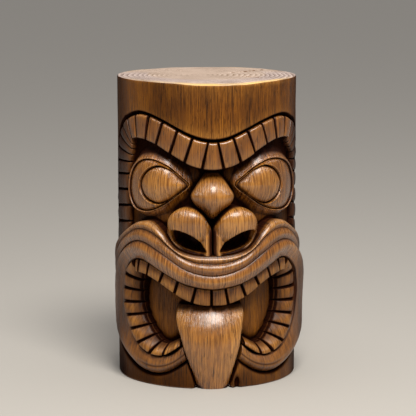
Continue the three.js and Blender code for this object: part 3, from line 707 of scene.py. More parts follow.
# Where the creases between the upper teeth meet the lip and the biting edge, on each half. The row
# isn't quite central.
UPPER_TOOTH_CUTS = {
    "right": [(-2.6, -2.5), (21, 26), (48, 57), (73.5, 83.5), (99.5, 107), (127.5, 134), (151, 151)],
    "left": [(2.6, 2.5), (29, 36), (59, 66), (86, 94), (115, 120.5), (139, 142), (151, 151)],
}
upper_lip_edge = even_through(LIP_INNER[:10])
biting_edge = even_through([
    [0, 138], [17, 138.5], [32, 141.5], [45, 146], [58, 152], [72, 160.5], [87, 169.5], [102, 177],
    [118, 182.5], [135, 184.5], [153, 184],
])
# The creases between the side and lower teeth, from the mouth's corner down to the tongue: each
# line's place at the lip and at the teeth's inner edge.
LOWER_TOOTH_LINES = np.array([
    [[152.5, 204], [150, 182]], [[179, 180], [153, 168]], [[187, 154], [155, 150]], [[184, 130], [153, 131]],
    [[174, 107.5], [145, 113]], [[160, 86], [132, 97]], [[140, 66], [117, 82]], [[112, 53], [102, 72]],
    [[84, 53], [84, 70.5]], [[53.5, 72], [56, 84]],
])


def upper_tooth(name, hand, number, inner_cut, outer_cut):
    patch = cut_patch(hand, inner_cut, outer_cut, lambda s: upper_lip_edge(s) - CREASE, biting_edge)
    width, seed = outer_cut[0] - inner_cut[0], 200 + hand * number
    return block(name, patch, lambda u, v: UPPER_TOOTH_TOP, width, length=34, bevel=3.0, seed=seed)


def lower_tooth(name, hand, number):
    count = len(LOWER_TOOTH_LINES) - 1
    outer, inner = (rail(LOWER_TOOTH_LINES[:, i] * [hand, 1]) for i in (0, 1))

    def patch(u, v):
        return between(outer, inner)((number - 1 + u) / count, v)

    def top(u, v):
        return LOWER_TOOTH_OUTER + (LOWER_TOOTH_INNER - LOWER_TOOTH_OUTER) * v**1.6

    width, seed = math.dist(*LOWER_TOOTH_LINES[number - 1:number + 1, 1]), 300 + hand * number
    return block(name, patch, top, width, length=28, bevel=2.0, seed=seed, swell=3.5, shade=0.45)


def tooth_forms():
    forms = []
    for side, hand in SIDES:
        row = UPPER_TOOTH_CUTS[side]
        for i, cuts in enumerate(zip(row, row[1:]), 1):
            forms.append(upper_tooth(f"upper_tooth_{side}_{i}", hand, i, *cuts))
        for i in range(1, len(LOWER_TOOTH_LINES)):
            forms.append(lower_tooth(f"lower_tooth_{side}_{i}", hand, i))
    return forms


# ---- tongue

TONGUE_LENGTH = 136.0
TONGUE_HALF_WIDTH = 45
tongue_right = through([
    [0, 27], [24, 32], [45, 37], [65, 42], [90, 47.5], [104, 52], [115, 57], [125, 61], [136, 63],
])
tongue_left = through([
    [0, -27], [22, -33], [41, -39.5], [58, -45], [82, -52], [95, -57], [107, -62.5], [118, -67], [136, -71],
])
tongue_ridge = through([
    [0, 151], [25, 157], [45, 161.5], [60, 164.2], [71, 164.8], [82, 163.7], [92, 161.2], [104, 156.2],
    [115, 149.8], [125, 142.5], [136, 132.5], [146, 122],
])


def tongue_form():
    def patch(u, v):
        z = v * TONGUE_LENGTH
        across = 2 * u - 1
        return np.where(across > 0, across * tongue_right(z), -across * tongue_left(z)), z

    def surface(u, v):
        across = np.abs(2 * u - 1)
        rolled = v * TONGUE_LENGTH + 3 * across**3 * step(v, 0.7, 1)
        drooping = 1 - 0.35 * step(v * TONGUE_LENGTH, 85, 128)
        fall = 10 * across**2.6 * drooping + eased((1 - across) * TONGUE_HALF_WIDTH, 3.5, 3.5)
        return tongue_ridge(rolled) - fall

    def ink_and_shade(u, v):
        # The tongue's top, under the teeth, is painted dark: painted shade.
        return 0.6 * step(v * TONGUE_LENGTH, 120, 136)

    across, along = stations(2 * TONGUE_HALF_WIDTH, 2.0), stations(TONGUE_LENGTH, 2.4)
    return slab("tongue", patch, surface, across, along, ink_and_shade)


# ---- log

FACE_CENTRE = np.array([0.0, 235.0])
# From its height down and up to where the rounding of the log's ends begins.
FACE_DEPTH = FACE_CENTRE[1] - END_ROUNDING
FACE_RISE = LOG_HEIGHT - END_ROUNDING - FACE_CENTRE[1]
CHEEK_OUTLINE = loop([
    [64, 87], [64, 105], [67, 122], [67, 140], [78, 154], [98, 168], [122, 177], [143, 178], [154, 167],
    [159, 150], [157, 131], [147, 113], [132, 96], [117, 81], [100, 72], [84, 71], [71, 78],
], 96)
CHEEK_CENTRE = np.array([105.0, 120.0])
CHEEK_TOP = 119.0
# The floor that the carving stands on, by the distance from the front centre line.
face_floor = through([[0, 114], [30, 115], [50, 117], [80, 128], [120, 136], [166, 139], [240, 140]])


def ray_length(outline, centre, angle):
    """How long a ray is from the centre of a star-shaped outline to the outline."""
    away = outline - centre
    angles = np.arctan2(away[:, 1], away[:, 0])
    order = np.argsort(angles)
    return np.interp(angle, angles[order], np.linalg.norm(away, axis=1)[order], period=2 * math.pi)


def share_of_outline(s, z, outline, centre):
    """How far out a place is: 0 at the centre of a star-shaped outline and 1 on the outline."""
    s, z = s - centre[0], z - centre[1]
    return np.hypot(s, z) / ray_length(outline, centre, np.arctan2(z, s))


def floor_at(s, z):
    """The radius of the hollowed face's floor: smooth valleys between the forms, and the cheeks inside
    the mouth."""
    beside = np.abs(s)
    beside_bridge = 11 * bump(beside - 36, 13) * bump(z - 352, 16)
    between_eye_and_fold = 6 * bump(beside - 95, 30) * bump(z - 279, 14)
    floor = face_floor(beside) + beside_bridge + between_eye_and_fold
    off_cheek = step(share_of_outline(beside, z, CHEEK_OUTLINE, CHEEK_CENTRE), 0.7, 1.2)
    beside_tongue = 14 * bump(beside - 56, 12) * step(z, 75, 92) * fade(z, 100, 126)
    mouth = CHEEK_TOP - 5 * off_cheek + 2.5 * bump(z - 105, 40) + beside_tongue
    return floor + (mouth - floor) * step(FACE_CENTRE[1] - z, 5, 30)


def log_surface(s, z):
    """The radius of the log's own skin, hand-peeled and so not quite even."""
    skin = LOG_RADIUS - 0.4 + 0.7 * rumple(s, z * 0.5, 64, 31) + 0.3 * rumple(s, z * 0.5, 19, 32)
    chin_notch = 7 * bump(s - 41, 4.5) * bump(z - 9, 9)
    beside_tongue = 13 * fade(np.abs(s), 27, 34) * fade(z, 30, 60)
    return skin - chin_notch - beside_tongue


def front_wear(s):
    """How far the top's front edge is worn down, in millimetres."""
    return 4.5 * bump(s - 12, 85) + 0.6 + 0.5 * rumple(s, np.full_like(s, LOG_HEIGHT), 30, 43)


def offset(points, us, gaps):
    """Places along an edge at us, moved outwards, which is to the left of its run, by gaps."""
    edge = rail(points)
    run = edge(np.minimum(us + 0.002, 1)) - edge(np.maximum(us - 0.002, 0))
    run = run / np.linalg.norm(run, axis=1, keepdims=True)
    return edge(us) + np.stack([-run[:, 1], run[:, 0]], 1) * np.asarray(gaps)[..., None]


def half_face_outline(hand):
    """One half of the hollow's outline, turned to the +s side: along the brow, the temple band, the ends
    of the folds, the lips and the tongue, and under the tongue to the middle of the foot."""
    across = np.linspace(0, 172, 80)
    brow = np.stack([across, brow_upper_edge(hand * across) + BROW_GROOVE], 1)
    us = np.linspace(0, 1, 80)
    narrowing = BROW_GROOVE + (WALL_GAP - BROW_GROOVE) * np.minimum(1, 2 * us)
    temple = offset(np.array(temple_outer_edge(hand)) * [hand, 1], us, narrowing)
    folds = offset(CHEEK_EDGE[9:], np.linspace(0.5, 1, 12), WALL_GAP)
    run_out = FOLD_CREASE[-1:] + [WALL_GAP, 0]
    lips = offset(LIP_OUTER[10:], np.linspace(0.1, 1, 110), WALL_GAP)
    beside_tongue = lips[lips[:, 0] > WALL_GAP - tongue_left(lips[:, 1])]
    down = np.linspace(41, 6, 20)
    channel = np.stack([WALL_GAP - tongue_left(down), down], 1)
    foot = np.stack([np.linspace(channel[-1, 0], 0, 16)[1:], np.full(15, 6.0)], 1)
    return np.concatenate([brow, temple[1:], folds, run_out, beside_tongue, channel, foot])


def face_outline():
    """The outline of the hollow, all round the face."""
    left = half_face_outline(-1) * [-1, 1]
    return np.concatenate([half_face_outline(1), left[-2:0:-1]])


def outline_at(outline, angles):
    """The places where rays from the face's centre meet its outline."""
    directions = np.stack([np.cos(angles), np.sin(angles)], 1)
    return FACE_CENTRE + ray_length(outline, FACE_CENTRE, angles)[:, None] * directions


def even_angles(outline, start, end, count):
    """Angles of count equal steps along the outline between two angles, without the last one."""
    fine = np.linspace(start, end, 4000)
    steps = np.linalg.norm(np.diff(outline_at(outline, fine), axis=0), axis=1)
    travelled = np.concatenate([[0], np.cumsum(steps)])
    return np.interp(np.linspace(0, travelled[-1], count + 1)[:-1], travelled, fine)


# How many of the rays from the face's centre leave by either side, by the top and by the foot.
SIDE_RAYS = 100
TOP_RAYS = 300
FOOT_RAYS = 280


def ray_angles(outline):
    low, high = (math.atan2(z, BACK_SEAM) for z in (-FACE_DEPTH, FACE_RISE))
    right = even_angles(outline, low, high, SIDE_RAYS)
    top = even_angles(outline, high, math.pi - high, TOP_RAYS)
    left = math.pi - np.append(right, high)[:0:-1]
    foot = even_angles(outline, math.pi - low, 2 * math.pi + low, FOOT_RAYS)
    return np.concatenate([right, top, left, foot])


def log_form():
    """The log: its skin and its hollowed face on rays from the face's centre, then its two ends."""
    form = Form("log_body")
    outline = face_outline()
    angles = ray_angles(outline)
    rim = outline_at(outline, angles)
    direction = np.stack([np.cos(angles), np.sin(angles)], 1)

    # The floor of the hollow, and its wall.
    rings = []
    for share in [*np.linspace(0.06, 0.96, 34), 0.985, 1.0]:
        s, z = (FACE_CENTRE + (rim - FACE_CENTRE) * share).T
        # The floor is painted darker above the mouth, and darker still under the brow: painted shade.
        ink_and_shade = 0.35 * step(z, 215, 235) + 0.35 * step(z, 350, 385)
        rings.append(form.add(*hand_cut(s, z), floor_at(s, z), ink_and_shade))
    form.fan(rings[0][::-1], *FACE_CENTRE, floor_at(*FACE_CENTRE))
    floor = floor_at(*rim.T)
    chin = fade(rim[:, 1], 60, 110)  # round the chin the skin rolls softly into the groove
    rim_drop = 2.2 + 4.5 * chin
    top = log_surface(*rim.T) - rim_drop
    # The wall of the hollow is painted fully dark: stain and painted shade.
    for share in (0.35, 0.7, 1.0):
        rings.append(form.add(*hand_cut(*rim.T), floor + (top - floor) * share, 1.0))

    # The skin, from the rim of the hollow out to where the rounding of the ends begins: how far out
    # each ring is, how far the skin has fallen there, and how dark it is painted, a dark band along the
    # rim of the hollow with stain and painted shade.
    limits = np.stack([np.full(len(rim), BACK_SEAM), np.where(direction[:, 1] > 0, FACE_RISE, FACE_DEPTH)], 1)
    to_edge = np.min(limits / np.maximum(np.abs(direction), 1e-9), axis=1)
    room = np.maximum(to_edge - np.linalg.norm(rim - FACE_CENTRE, axis=1), 0.5)
    skins = []
    for distance, ink_and_shade in zip((0.4, 0.9, 1.5, 2.2, 3.1, 4.4), (0.9, 0.75, 0.5, 0.25, 0.1, 0.0)):
        out = distance * np.minimum(1, room / 12)
        skins.append((out * (1 + 1.6 * chin), eased(out, 3.0, rim_drop), ink_and_shade))
    start = skins[-1][0]
    for share in np.linspace(0, 1, 42)[1:]:
        skins.append((start + (room - start) * share**1.35, 0.0, 0.0))
    for out, fall, ink_and_shade in skins:
        s, z = (rim + direction * out[:, None]).T
        cut_s, cut_z = hand_cut(s, z)
        blend = step(room - out, 0, 8)  # the sawn ends and the seam stay where they are
        # The skin is painted darker towards the foot, more on the left than on the right.
        darker_to_foot = (0.36 - 0.14 * np.tanh(s / 60)) * fade(z, 5, 75)
        worn = front_wear(s) * step(z, 440, LOG_HEIGHT - END_ROUNDING)
        place = (s + (cut_s - s) * blend, z + (cut_z - z) * blend - worn)
        rings.append(form.add(*place, log_surface(s, z) - fall, np.maximum(ink_and_shade, darker_to_foot)))
    form.tube(rings)
    # The back seam's two sides are one line.
    edge = rings[-1].tolist()
    for one, other in zip(edge[SIDE_RAYS + TOP_RAYS:-FOOT_RAYS + 1], edge[SIDE_RAYS::-1]):
        form.merged[one] = other
    add_end(form, edge[SIDE_RAYS:SIDE_RAYS + TOP_RAYS], LOG_HEIGHT)
    add_end(form, edge[-FOOT_RAYS:], 0.0)
    return form


# Drying checks in the top: the angle of each round the log from the front, the shares of the radius
# that it runs from and to, and its depth.
CHECKS = [(0.9, 0.35, 0.82, 2.6), (2.2, 0.3, 0.97, 3.6), (-2.6, 0.45, 0.9, 2.2), (1.9, 0.62, 0.93, 1.6)]


def add_end(form, edge, level):
    """One sawn end: its rounded rim and its face, on circles shrinking to the log's axis."""
    s, z, r = form.points()[edge].T
    inwards = 1 if level == 0 else -1
    rings = [edge]
    worn = front_wear(s) * (level > 0)
    rounding = END_ROUNDING * (1 + 0.35 * rumple(s, np.full_like(s, level), 40, 41))
    for angle in np.linspace(0, math.pi / 2, 5)[1:]:
        sunk = END_ROUNDING * (1 - math.sin(angle)) + worn
        rings.append(form.add(s, level + inwards * sunk, r - rounding * (1 - math.cos(angle))))
    for share in np.concatenate([np.linspace(0.99, 0.9, 6), np.linspace(0.87, 0.03, 34)]):
        sunk = 0.3 + 0.25 * rumple(s * share, np.full_like(s, level + 300 * share), 26, 42) + worn * share**9
        for place, start, end, depth in CHECKS if level > 0 else ():
            off_check = s / LOG_RADIUS - place - 0.05 * math.sin(9 * share + 3 * place)
            run = step(share, start, start + 0.12) * fade(share, end - 0.06, end)
            sunk = sunk + depth * run * bump(off_check, 1.8 / (LOG_RADIUS * share))
        rings.append(form.add(s, level + inwards * sunk, (r - rounding) * share))
    form.tube(rings)
    form.fan(rings[-1], 0, level + inwards * 0.3, 0)


# ---- stain and wear, with painted shade and painted highlight

MAP_STEP = 1.5
MAP_HALF_WIDTH = 300.0
# How much lighter the pieces that stand out furthest are painted all over, as wood rubbed bare and as
# painted highlight, by how their names start.
RUBBED_AND_HIGHLIGHTED = {"tongue": 0.6, "nose": 0.5, "iris": 0.45, "lips": 0.25, "middle": 0.25, "cheek": 0.25}


def blurred(height, sigma):
    """The map smoothed over sigma millimetres."""
    half = int(3 * sigma / MAP_STEP)
    kernel = np.exp(-0.5 * (np.arange(-half, half + 1) * MAP_STEP / sigma) ** 2)
    kernel = kernel / kernel.sum()
    height = np.pad(height, half, mode="edge")
    for axis in (0, 1):
        height = np.apply_along_axis(np.convolve, axis, height, kernel, "valid")
    return height


def relief_map(forms):
    """The radius of the outermost surface over the face, on a grid of MAP_STEP."""
    s_line = np.arange(-MAP_HALF_WIDTH, MAP_HALF_WIDTH + MAP_STEP, MAP_STEP)
    s, z = np.meshgrid(s_line, np.arange(0, LOG_HEIGHT + MAP_STEP, MAP_STEP), indexing="ij")
    inside = share_of_outline(s, z, face_outline(), FACE_CENTRE) < 1
    height = np.where(inside, floor_at(s, z), LOG_RADIUS)
    for form in forms:
        if form.name == "log_body":
            continue
        a, b, c, d = np.moveaxis(form.points()[np.concatenate(form.quads)], 1, 0)
        for t, u in np.ndindex(4, 4):  # sixteen places on each face
            near, far = a + (b - a) * (t + 0.5) / 4, d + (c - d) * (t + 0.5) / 4
            place = near + (far - near) * (u + 0.5) / 4
            cell = np.round((place[:, :2] + [MAP_HALF_WIDTH, 0]) / MAP_STEP).astype(int)
            np.maximum.at(height, tuple(np.clip(cell, 0, np.array(s.shape) - 1).T), place[:, 2])
    return height


def sampled(height, s, z):
    """The map's value at each place, between its grid points."""
    x = np.clip((s + MAP_HALF_WIDTH) / MAP_STEP, 0, height.shape[0] - 1.001)
    y = np.clip(z / MAP_STEP, 0, height.shape[1] - 1.001)
    i, j = x.astype(int), y.astype(int)
    a, b = x - i, y - j
    low = height[i, j] * (1 - a) + height[i + 1, j] * a
    high = height[i, j + 1] * (1 - a) + height[i + 1, j + 1] * a
    return low * (1 - b) + high * b


def stain_shade_wear_and_highlight(forms):
    """How dark each vertex is painted and how much lighter, as two arrays for each form. Cuts and hollows
    are painted dark, with the stain held there and painted shade; what stands proud is painted lighter,
    as wood rubbed back to bare and painted highlight."""
    height = relief_map(forms)
    narrow, wide = blurred(height, 3.2), blurred(height, 10.0)
    shares = []
    for form in forms:
        s, z, r = form.points().T
        depth = sampled(narrow, s, z) - r
        broad = sampled(wide, s, z) - r
        ink_and_shade = np.concatenate(form.inks_and_shades)
        # Cuts and hollows are painted dark by how deep they lie: the stain held there and painted shade.
        stain = np.maximum(step(depth, 0.3, 4.5), 0.85 * step(broad, 1.5, 14.0))
        rubbed_and_highlighted = sum(share for start, share in RUBBED_AND_HIGHLIGHTED.items() if form.name.startswith(start))
        # What stands proud is painted lighter, and the pieces listed above more so: wear and painted
        # highlight.
        wear = step(-broad, -2.0, 9.0) + rubbed_and_highlighted * step(-broad, -4.0, 3.0)
        if form.name.startswith("upper_tooth"):
            stain = 0.45 * stain  # they lie deep between the lip and the tongue, but are lit, so they get less of the painted shade
        if form.name.startswith("brow_block"):
            stain = stain + 0.2
        if form.name == "log_body":
            skin = r > LOG_RADIUS - 8
            bare = np.maximum(step(np.abs(s), 235, 265), step(-r, -110, -90))
            stain = stain * (1 - np.maximum(bare, step(z, LOG_HEIGHT - 20, LOG_HEIGHT - 12)))
            # A darker patch on the left of the forehead.
            stain = np.maximum(stain, 0.34 * bump(s + 85, 50) * step(z, 400, 440) * skin)
            wear = wear + (0.1 - wear) * bare
            # Near the top at the front the skin is painted lighter, and the rim lighter still: wear and
            # painted highlight.
            near_top = 0.4 * step(z, 455, 500) * bump(s, 110) * skin
            rim = step(z, LOG_HEIGHT - 12, LOG_HEIGHT - 5) * step(r, LOG_RADIUS - 16, LOG_RADIUS - 4)
            rim = rim * (0.65 + 0.5 * rumple(s, z, 22, 44)) * (0.2 + 0.8 * bump(s - 15, 140))
            wear = np.maximum(wear, np.maximum(rim, near_top))
        stain = np.maximum(stain, ink_and_shade) * (1 + np.minimum(ink_and_shade, 0))
        beside = np.abs(s)
        # The sides of the face are painted darker, and their lightening held back: painted shade.
        side_shade = 0.48 * step(beside, 152, 208) * fade(beside, 240, 330) * (r > 100)
        stain = stain + side_shade * (1 - stain)
        wear = np.maximum(wear, -ink_and_shade) * (1 - stain) * (1 - 2 * side_shade)
        shares.append((stain, np.clip(wear, 0, 1)))
    return shares


# ---- materials

def colour(red, green, blue):
    """A colour given as it looks, turned into the linear one that the renderer wants."""
    linear = [c / 12.92 if c <= 0.04045 else ((c + 0.055) / 1.055) ** 2.4 for c in (red, green, blue)]
    return (*linear, 1.0)


class Nodes:
    """A new material, and short ways to build its nodes."""

    def __init__(self, name):
        self.material = bpy.data.materials.new(name)
        self.material.use_nodes = True
        self.tree = self.material.node_tree
        self.tree.nodes.clear()
        self.here = self.node("TexCoord").outputs["Object"]

    def node(self, kind, *values, **named):
        """A node. Values fill its inputs in order. Names in small letters are settings, and the others
        are inputs, with _ for a space."""
        node = self.tree.nodes.new("ShaderNode" + kind)
        for name in [name for name in named if name.islower()]:
            setattr(node, name, named.pop(name))
        for key, value in [*enumerate(values), *named.items()]:
            socket = node.inputs[key if isinstance(key, int) else key.replace("_", " ")]
            if isinstance(value, bpy.types.NodeSocket):
                self.tree.links.new(value, socket)
            elif value is not None:
                socket.default_value = value
        return node

    def math(self, operation, a, b, clamp=False):
        return self.node("Math", a, b, operation=operation, use_clamp=clamp).outputs[0]

    def times(self, a, b):
        return self.math("MULTIPLY", a, b)

    def plus(self, first, *others, clamp=False):
        """The sum of all of them, kept between 0 and 1 if clamp is set."""
        for other in others:
            first = self.math("ADD", first, other, clamp and other is others[-1])
        return first

    def swing(self, value, amount):
        """A share turned into a swing of amount about nothing."""
        return self.times(self.math("SUBTRACT", value, 0.5), amount)

    def remap(self, value, low, high, to_low=0.0, to_high=1.0):
        return self.node("MapRange", value, low, high, to_low, to_high).outputs[0]

    def mix(self, factor, a, b, mode="MIX"):
        # The colours are its seventh and eighth inputs.
        return self.node("Mix", factor, *[None] * 5, a, b, data_type="RGBA", blend_type=mode).outputs[2]

    def stretched(self, coordinates, *scale):
        return self.node("Mapping", Vector=coordinates, Scale=scale).outputs[0]

    def noise(self, coordinates, scale, detail, roughness):
        node = self.node("TexNoise", Vector=coordinates, Scale=scale, Detail=detail, Roughness=roughness)
        return node.outputs["Fac"]

    def vector(self, operation, *values):
        return self.node("VectorMath", *values, operation=operation).outputs[0]

    def rings(self, waves, scale, detail, amount, profile, **wave):
        """Growth rings round the log's axis, bent by slow noise over the coordinates waves."""
        bend = self.node("TexNoise", Vector=waves, Scale=scale, Detail=detail, Roughness=0.5)
        shift = self.node("VectorMath", bend.outputs["Color"], operation="SCALE", Scale=amount).outputs[0]
        wave = wave | {"wave_type": "RINGS", "rings_direction": "Z", "wave_profile": profile}
        return self.node("TexWave", Vector=self.vector("ADD", self.here, shift), **wave).outputs["Fac"]

    def ramp(self, tone, *stops):
        """A colour for each tone, through stops that are each a tone and its colour."""
        node = self.node("ValToRGB", tone)
        ends = node.color_ramp.elements
        for element, stop in ((ends[0], stops[0]), (ends[1], stops[-1])):
            element.position, element.color = stop
        for position, tint in stops[1:-1]:
            ends.new(position).color = tint
        return node.outputs[0]

    def attribute(self, name):
        return self.node("Attribute", attribute_name=name).outputs["Fac"]

    def finish(self, **inputs):
        """Gives the material its shader, and returns the material."""
        shader = self.node("BsdfPrincipled", **inputs)
        self.node("OutputMaterial", shader.outputs[0])
        return self.material


GRAIN_OUT = 640.0  # fibres a metre across the grain
GRAIN_UP = 20.0  # and along it
STAIN_AND_SHADE_GLAZE = colour(0.33, 0.24, 0.16)  # what the dark stain and the painted shade leave of the wood's own colour
PORE_BROWN = colour(0.17, 0.08, 0.02)
# The colours of each stained wood, from dark to light, then its roughness, how strongly it and its
# varnish mirror, and how blotchy it is.
WOODS = {
    "log_wood": ((0.20, 0.09, 0.00), (0.43, 0.235, 0.01), (0.60, 0.36, 0.04), 0.42, 0.3, 0.05, 0.8),
    "carved_wood": ((0.26, 0.12, 0.02), (0.52, 0.295, 0.06), (0.74, 0.46, 0.14), 0.28, 0.75, 0.7, 0.6),
    "tooth_wood": ((0.21, 0.10, 0.02), (0.42, 0.23, 0.04), (0.60, 0.36, 0.10), 0.36, 0.5, 0.15, 0.9),
    "eye_wood": ((0.28, 0.14, 0.03), (0.53, 0.31, 0.08), (0.74, 0.48, 0.17), 0.27, 0.7, 0.6, 0.7),
}


def wood_material(name, dark, mid, light, gloss, specular, coat, mottle):
    """Stained and varnished wood: growth rings, fibres and pores run up the log, through every piece."""
    nodes = Nodes(name)
    here = nodes.here
    slow = nodes.stretched(here, 1, 1, 0.22)  # so that the rings come to the surface as long flames
    rings = nodes.rings(slow, 7.0, 2.0, 0.035, "SIN", Scale=46.0, Distortion=1.6, Detail=2.0)

    # The fibres come to the surface as upright lines, however deep the carving goes.
    outwards = nodes.vector("NORMALIZE", nodes.vector("MULTIPLY", here, (1, 1, 0)))
    on_skin = nodes.vector("ADD", nodes.vector("MULTIPLY", outwards, (LOG_RADIUS * MM,) * 3),
                           nodes.vector("MULTIPLY", here, (0.05, 0.05, 1)))
    fibres = nodes.noise(nodes.stretched(on_skin, GRAIN_OUT, GRAIN_OUT, GRAIN_UP), 1.0, 3.0, 0.6)
    fine = nodes.stretched(on_skin, GRAIN_OUT * 1.3, GRAIN_OUT * 1.3, GRAIN_UP * 3)
    pore = nodes.remap(nodes.noise(fine, 1.0, 2.0, 0.5), 0.62, 0.72)
    blotches = nodes.noise(nodes.stretched(here, 1, 1, 0.6), 13.0, 4.0, 0.6)
    grain = (nodes.swing(rings, 0.16), nodes.swing(fibres, 1.7), nodes.swing(blotches, mottle))
    tone = nodes.plus(*grain, 0.5, clamp=True)
    surface = nodes.ramp(tone, (0.12, colour(*dark)), (0.5, colour(*mid)), (0.9, colour(*light)))

    patchy = nodes.remap(blotches, 0.32, 0.62, 0.35, 0.85)
    # Where the wood is worn, and where a highlight is painted, it turns golden.
    gold_of_wear_and_highlight = nodes.mix(nodes.remap(fibres, 0.3, 0.7), colour(0.50, 0.28, 0.07), colour(0.90, 0.64, 0.30))
    surface = nodes.mix(nodes.times(nodes.attribute("wear"), patchy), surface, gold_of_wear_and_highlight)
    surface = nodes.mix(nodes.times(pore, 0.75), surface, PORE_BROWN)
    # The stain held in the cuts and hollows, and the painted shade there, darken the wood.
    stain_and_shade_held = nodes.remap(nodes.plus(nodes.attribute("stain"), nodes.swing(fibres, 0.5)), 0.04, 0.72)
    surface = nodes.mix(stain_and_shade_held, surface, STAIN_AND_SHADE_GLAZE, "MULTIPLY")

    rough = nodes.plus(gloss, nodes.swing(fibres, 0.3), nodes.times(stain_and_shade_held, 0.42))
    shine = nodes.math("SUBTRACT", 1.0, nodes.times(stain_and_shade_held, 0.88))
    heights = nodes.math("SUBTRACT", fibres, nodes.times(pore, 0.5))
    grain_bump = nodes.node("Bump", Strength=1.0, Distance=0.0020, Height=heights).outputs[0]
    ripple = nodes.noise(nodes.stretched(here, 1, 1, 0.4), 90.0, 2.0, 0.5)
    normal = nodes.node("Bump", Strength=0.3, Distance=0.0014, Height=ripple, Normal=grain_bump).outputs[0]
    return nodes.finish(
        Base_Color=surface, Roughness=rough, Normal=normal, Coat_Roughness=0.24,
        Specular_IOR_Level=nodes.times(shine, specular), Coat_Weight=nodes.times(shine, coat),
    )


def end_grain_material():
    """The sawn ends: rings round the heart, small pits, and a dull, weathered face."""
    nodes = Nodes("end_grain")
    rings = nodes.rings(nodes.here, 9.0, 3.0, 0.03, "SAW", Scale=38.0, Distortion=1.2, Detail=3.0)
    pit = nodes.remap(nodes.noise(nodes.here, 700.0, 3.0, 0.6), 0.58, 0.7)
    blotches = nodes.noise(nodes.here, 22.0, 4.0, 0.6)
    tone = nodes.plus(nodes.times(rings, 0.5), nodes.times(blotches, 0.5))
    surface = nodes.ramp(tone, (0.2, colour(0.46, 0.37, 0.33)), (0.75, colour(0.83, 0.75, 0.71)))
    surface = nodes.mix(nodes.times(pit, 0.6), surface, colour(0.22, 0.14, 0.10))
    # The worn rim is painted golden: wear and painted highlight.
    surface = nodes.mix(nodes.attribute("wear"), surface, colour(0.98, 0.80, 0.44))
    heights = nodes.math("SUBTRACT", rings, pit)
    normal = nodes.node("Bump", Strength=0.4, Distance=0.0008, Height=heights).outputs[0]
    rough = nodes.remap(blotches, 0.3, 0.7, 0.42, 0.6)
    return nodes.finish(Base_Color=surface, Roughness=rough, Normal=normal)


# ---- building

def add_object(name, data, **settings):
    """Puts data into the scene, as an object, and settings into the data."""
    for key, value in settings.items():
        setattr(data, key, value)
    thing = bpy.data.objects.new(name, data)
    bpy.context.scene.collection.objects.link(thing)
    return thing


def slot_of(name):
    """The record's material slot of a CAD node."""
    return next(part["material_slot"] for part in frame["record"]["subparts"] if part["node"] == name)


def volume(points, faces):
    """Six times the volume inside the faces, and below nothing if they look inwards."""
    triangles = np.array([(face[0], *pair) for face in faces for pair in zip(face[1:], face[2:])])
    a, b, c = np.moveaxis(points[triangles], 1, 0)
    return np.sum(a * np.cross(b, c))


def make_piece(form, stain, wear, materials):
    """A Blender object from a form, standing for the CAD node of the same name."""
    s, z, r = form.points().T
    angle = s / LOG_RADIUS
    points = np.stack([r * np.sin(angle), -r * np.cos(angle), z], 1) * MM
    faces = np.concatenate(form.quads).tolist() + form.others
    faces = [[form.merged.get(int(i), int(i)) for i in face] for face in faces]
    if volume(points, faces) < 0:
        faces = [face[::-1] for face in faces]
    mesh = bpy.data.meshes.new(form.name + "_carved")
    mesh.from_pydata(points.tolist(), [], faces)
    for name, values in (("stain", stain), ("wear", wear)):
        attribute = mesh.attributes.new(name, "FLOAT", "POINT")
        attribute.data.foreach_set("value", values.astype(np.float32))
    mesh.materials.append(materials[slot_of(form.name)])
    mesh.shade_smooth()
    piece = add_object(mesh.name, mesh)
    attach(piece, BODY)
    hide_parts(form.name)
    return mesh


def finish_ends(mesh):
    """Gives the log's sawn ends their own wood."""
    mesh.materials.append(end_grain_material())
    for polygon in mesh.polygons:
        z = polygon.center.z / MM
        if abs(polygon.normal.z) > 0.8 and (z > LOG_HEIGHT - 15 or z < 10):
            polygon.material_index = 1


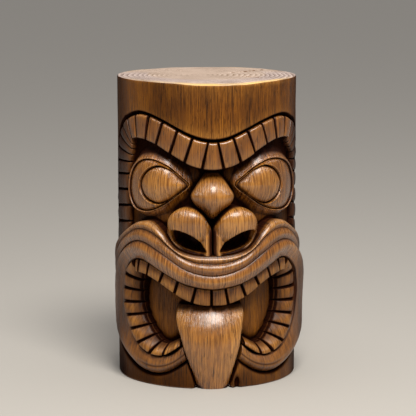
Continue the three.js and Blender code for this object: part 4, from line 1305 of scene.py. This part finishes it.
KEY_PLACE = (0.35, -1.9, 2.9)
KEY_AIM = (0, 0, 0.28)
FLOOR_HALF_WIDTH = 30.0


def add_studio():
    world = bpy.data.worlds.new("studio")
    world.use_nodes = True
    background = world.node_tree.nodes["Background"]
    background.inputs["Color"].default_value = (0.91, 0.88, 0.85, 1)
    background.inputs["Strength"].default_value = 0.19
    bpy.context.scene.world = world

    mesh = bpy.data.meshes.new("floor")
    corners = FLOOR_HALF_WIDTH * np.array([(-1, -1, 0), (1, -1, 0), (1, 1, 0), (-1, 1, 0)])
    mesh.from_pydata(corners.tolist(), [], [(0, 1, 2, 3)])
    mesh.materials.append(Nodes("floor").finish(Base_Color=colour(0.72, 0.70, 0.67), Roughness=0.9))
    floor = add_object("floor", mesh)

    disk = bpy.data.lights.new("key", "AREA")
    key = add_object("key", disk, shape="DISK", size=1.5, energy=126, color=(1.0, 0.97, 0.92))
    key.location = KEY_PLACE
    x, y, z = np.array(KEY_AIM) - KEY_PLACE
    key.rotation_euler = (math.atan2(math.hypot(x, y), -z), 0, math.atan2(y, x) - math.pi / 2)
    # A wide soft light straight from above.
    sun = bpy.data.lights.new("sky", "SUN")
    add_object("sky", sun, energy=1.0, angle=math.radians(60), color=(0.97, 0.98, 1.0))


def add_camera():
    data = bpy.data.cameras.new("camera")
    camera = add_object("camera", data, lens=168.57, sensor_width=36, clip_end=100)
    camera.location = (-0.2276, -3.2545, 0.7948)
    camera.rotation_euler = (math.radians(90 - 9.012), 0, math.radians(-4.039))
    bpy.context.scene.camera = camera


def build():
    bpy.context.scene.view_settings.view_transform = "Standard"
    add_camera()
    add_studio()
    forms = [log_form(), *brow_forms(), *[temple_form(*side) for side in SIDES], *eye_forms()]
    forms += [*nose_forms(), *lip_and_fold_forms(), *tooth_forms(), tongue_form()]
    materials = {name: wood_material(name, *looks) for name, looks in WOODS.items()}
    for form, shares in zip(forms, stain_shade_wear_and_highlight(forms)):
        mesh = make_piece(form, *shares, materials)
        if form.name == "log_body":
            finish_ends(mesh)


build()

bpy.context.view_layer.update()
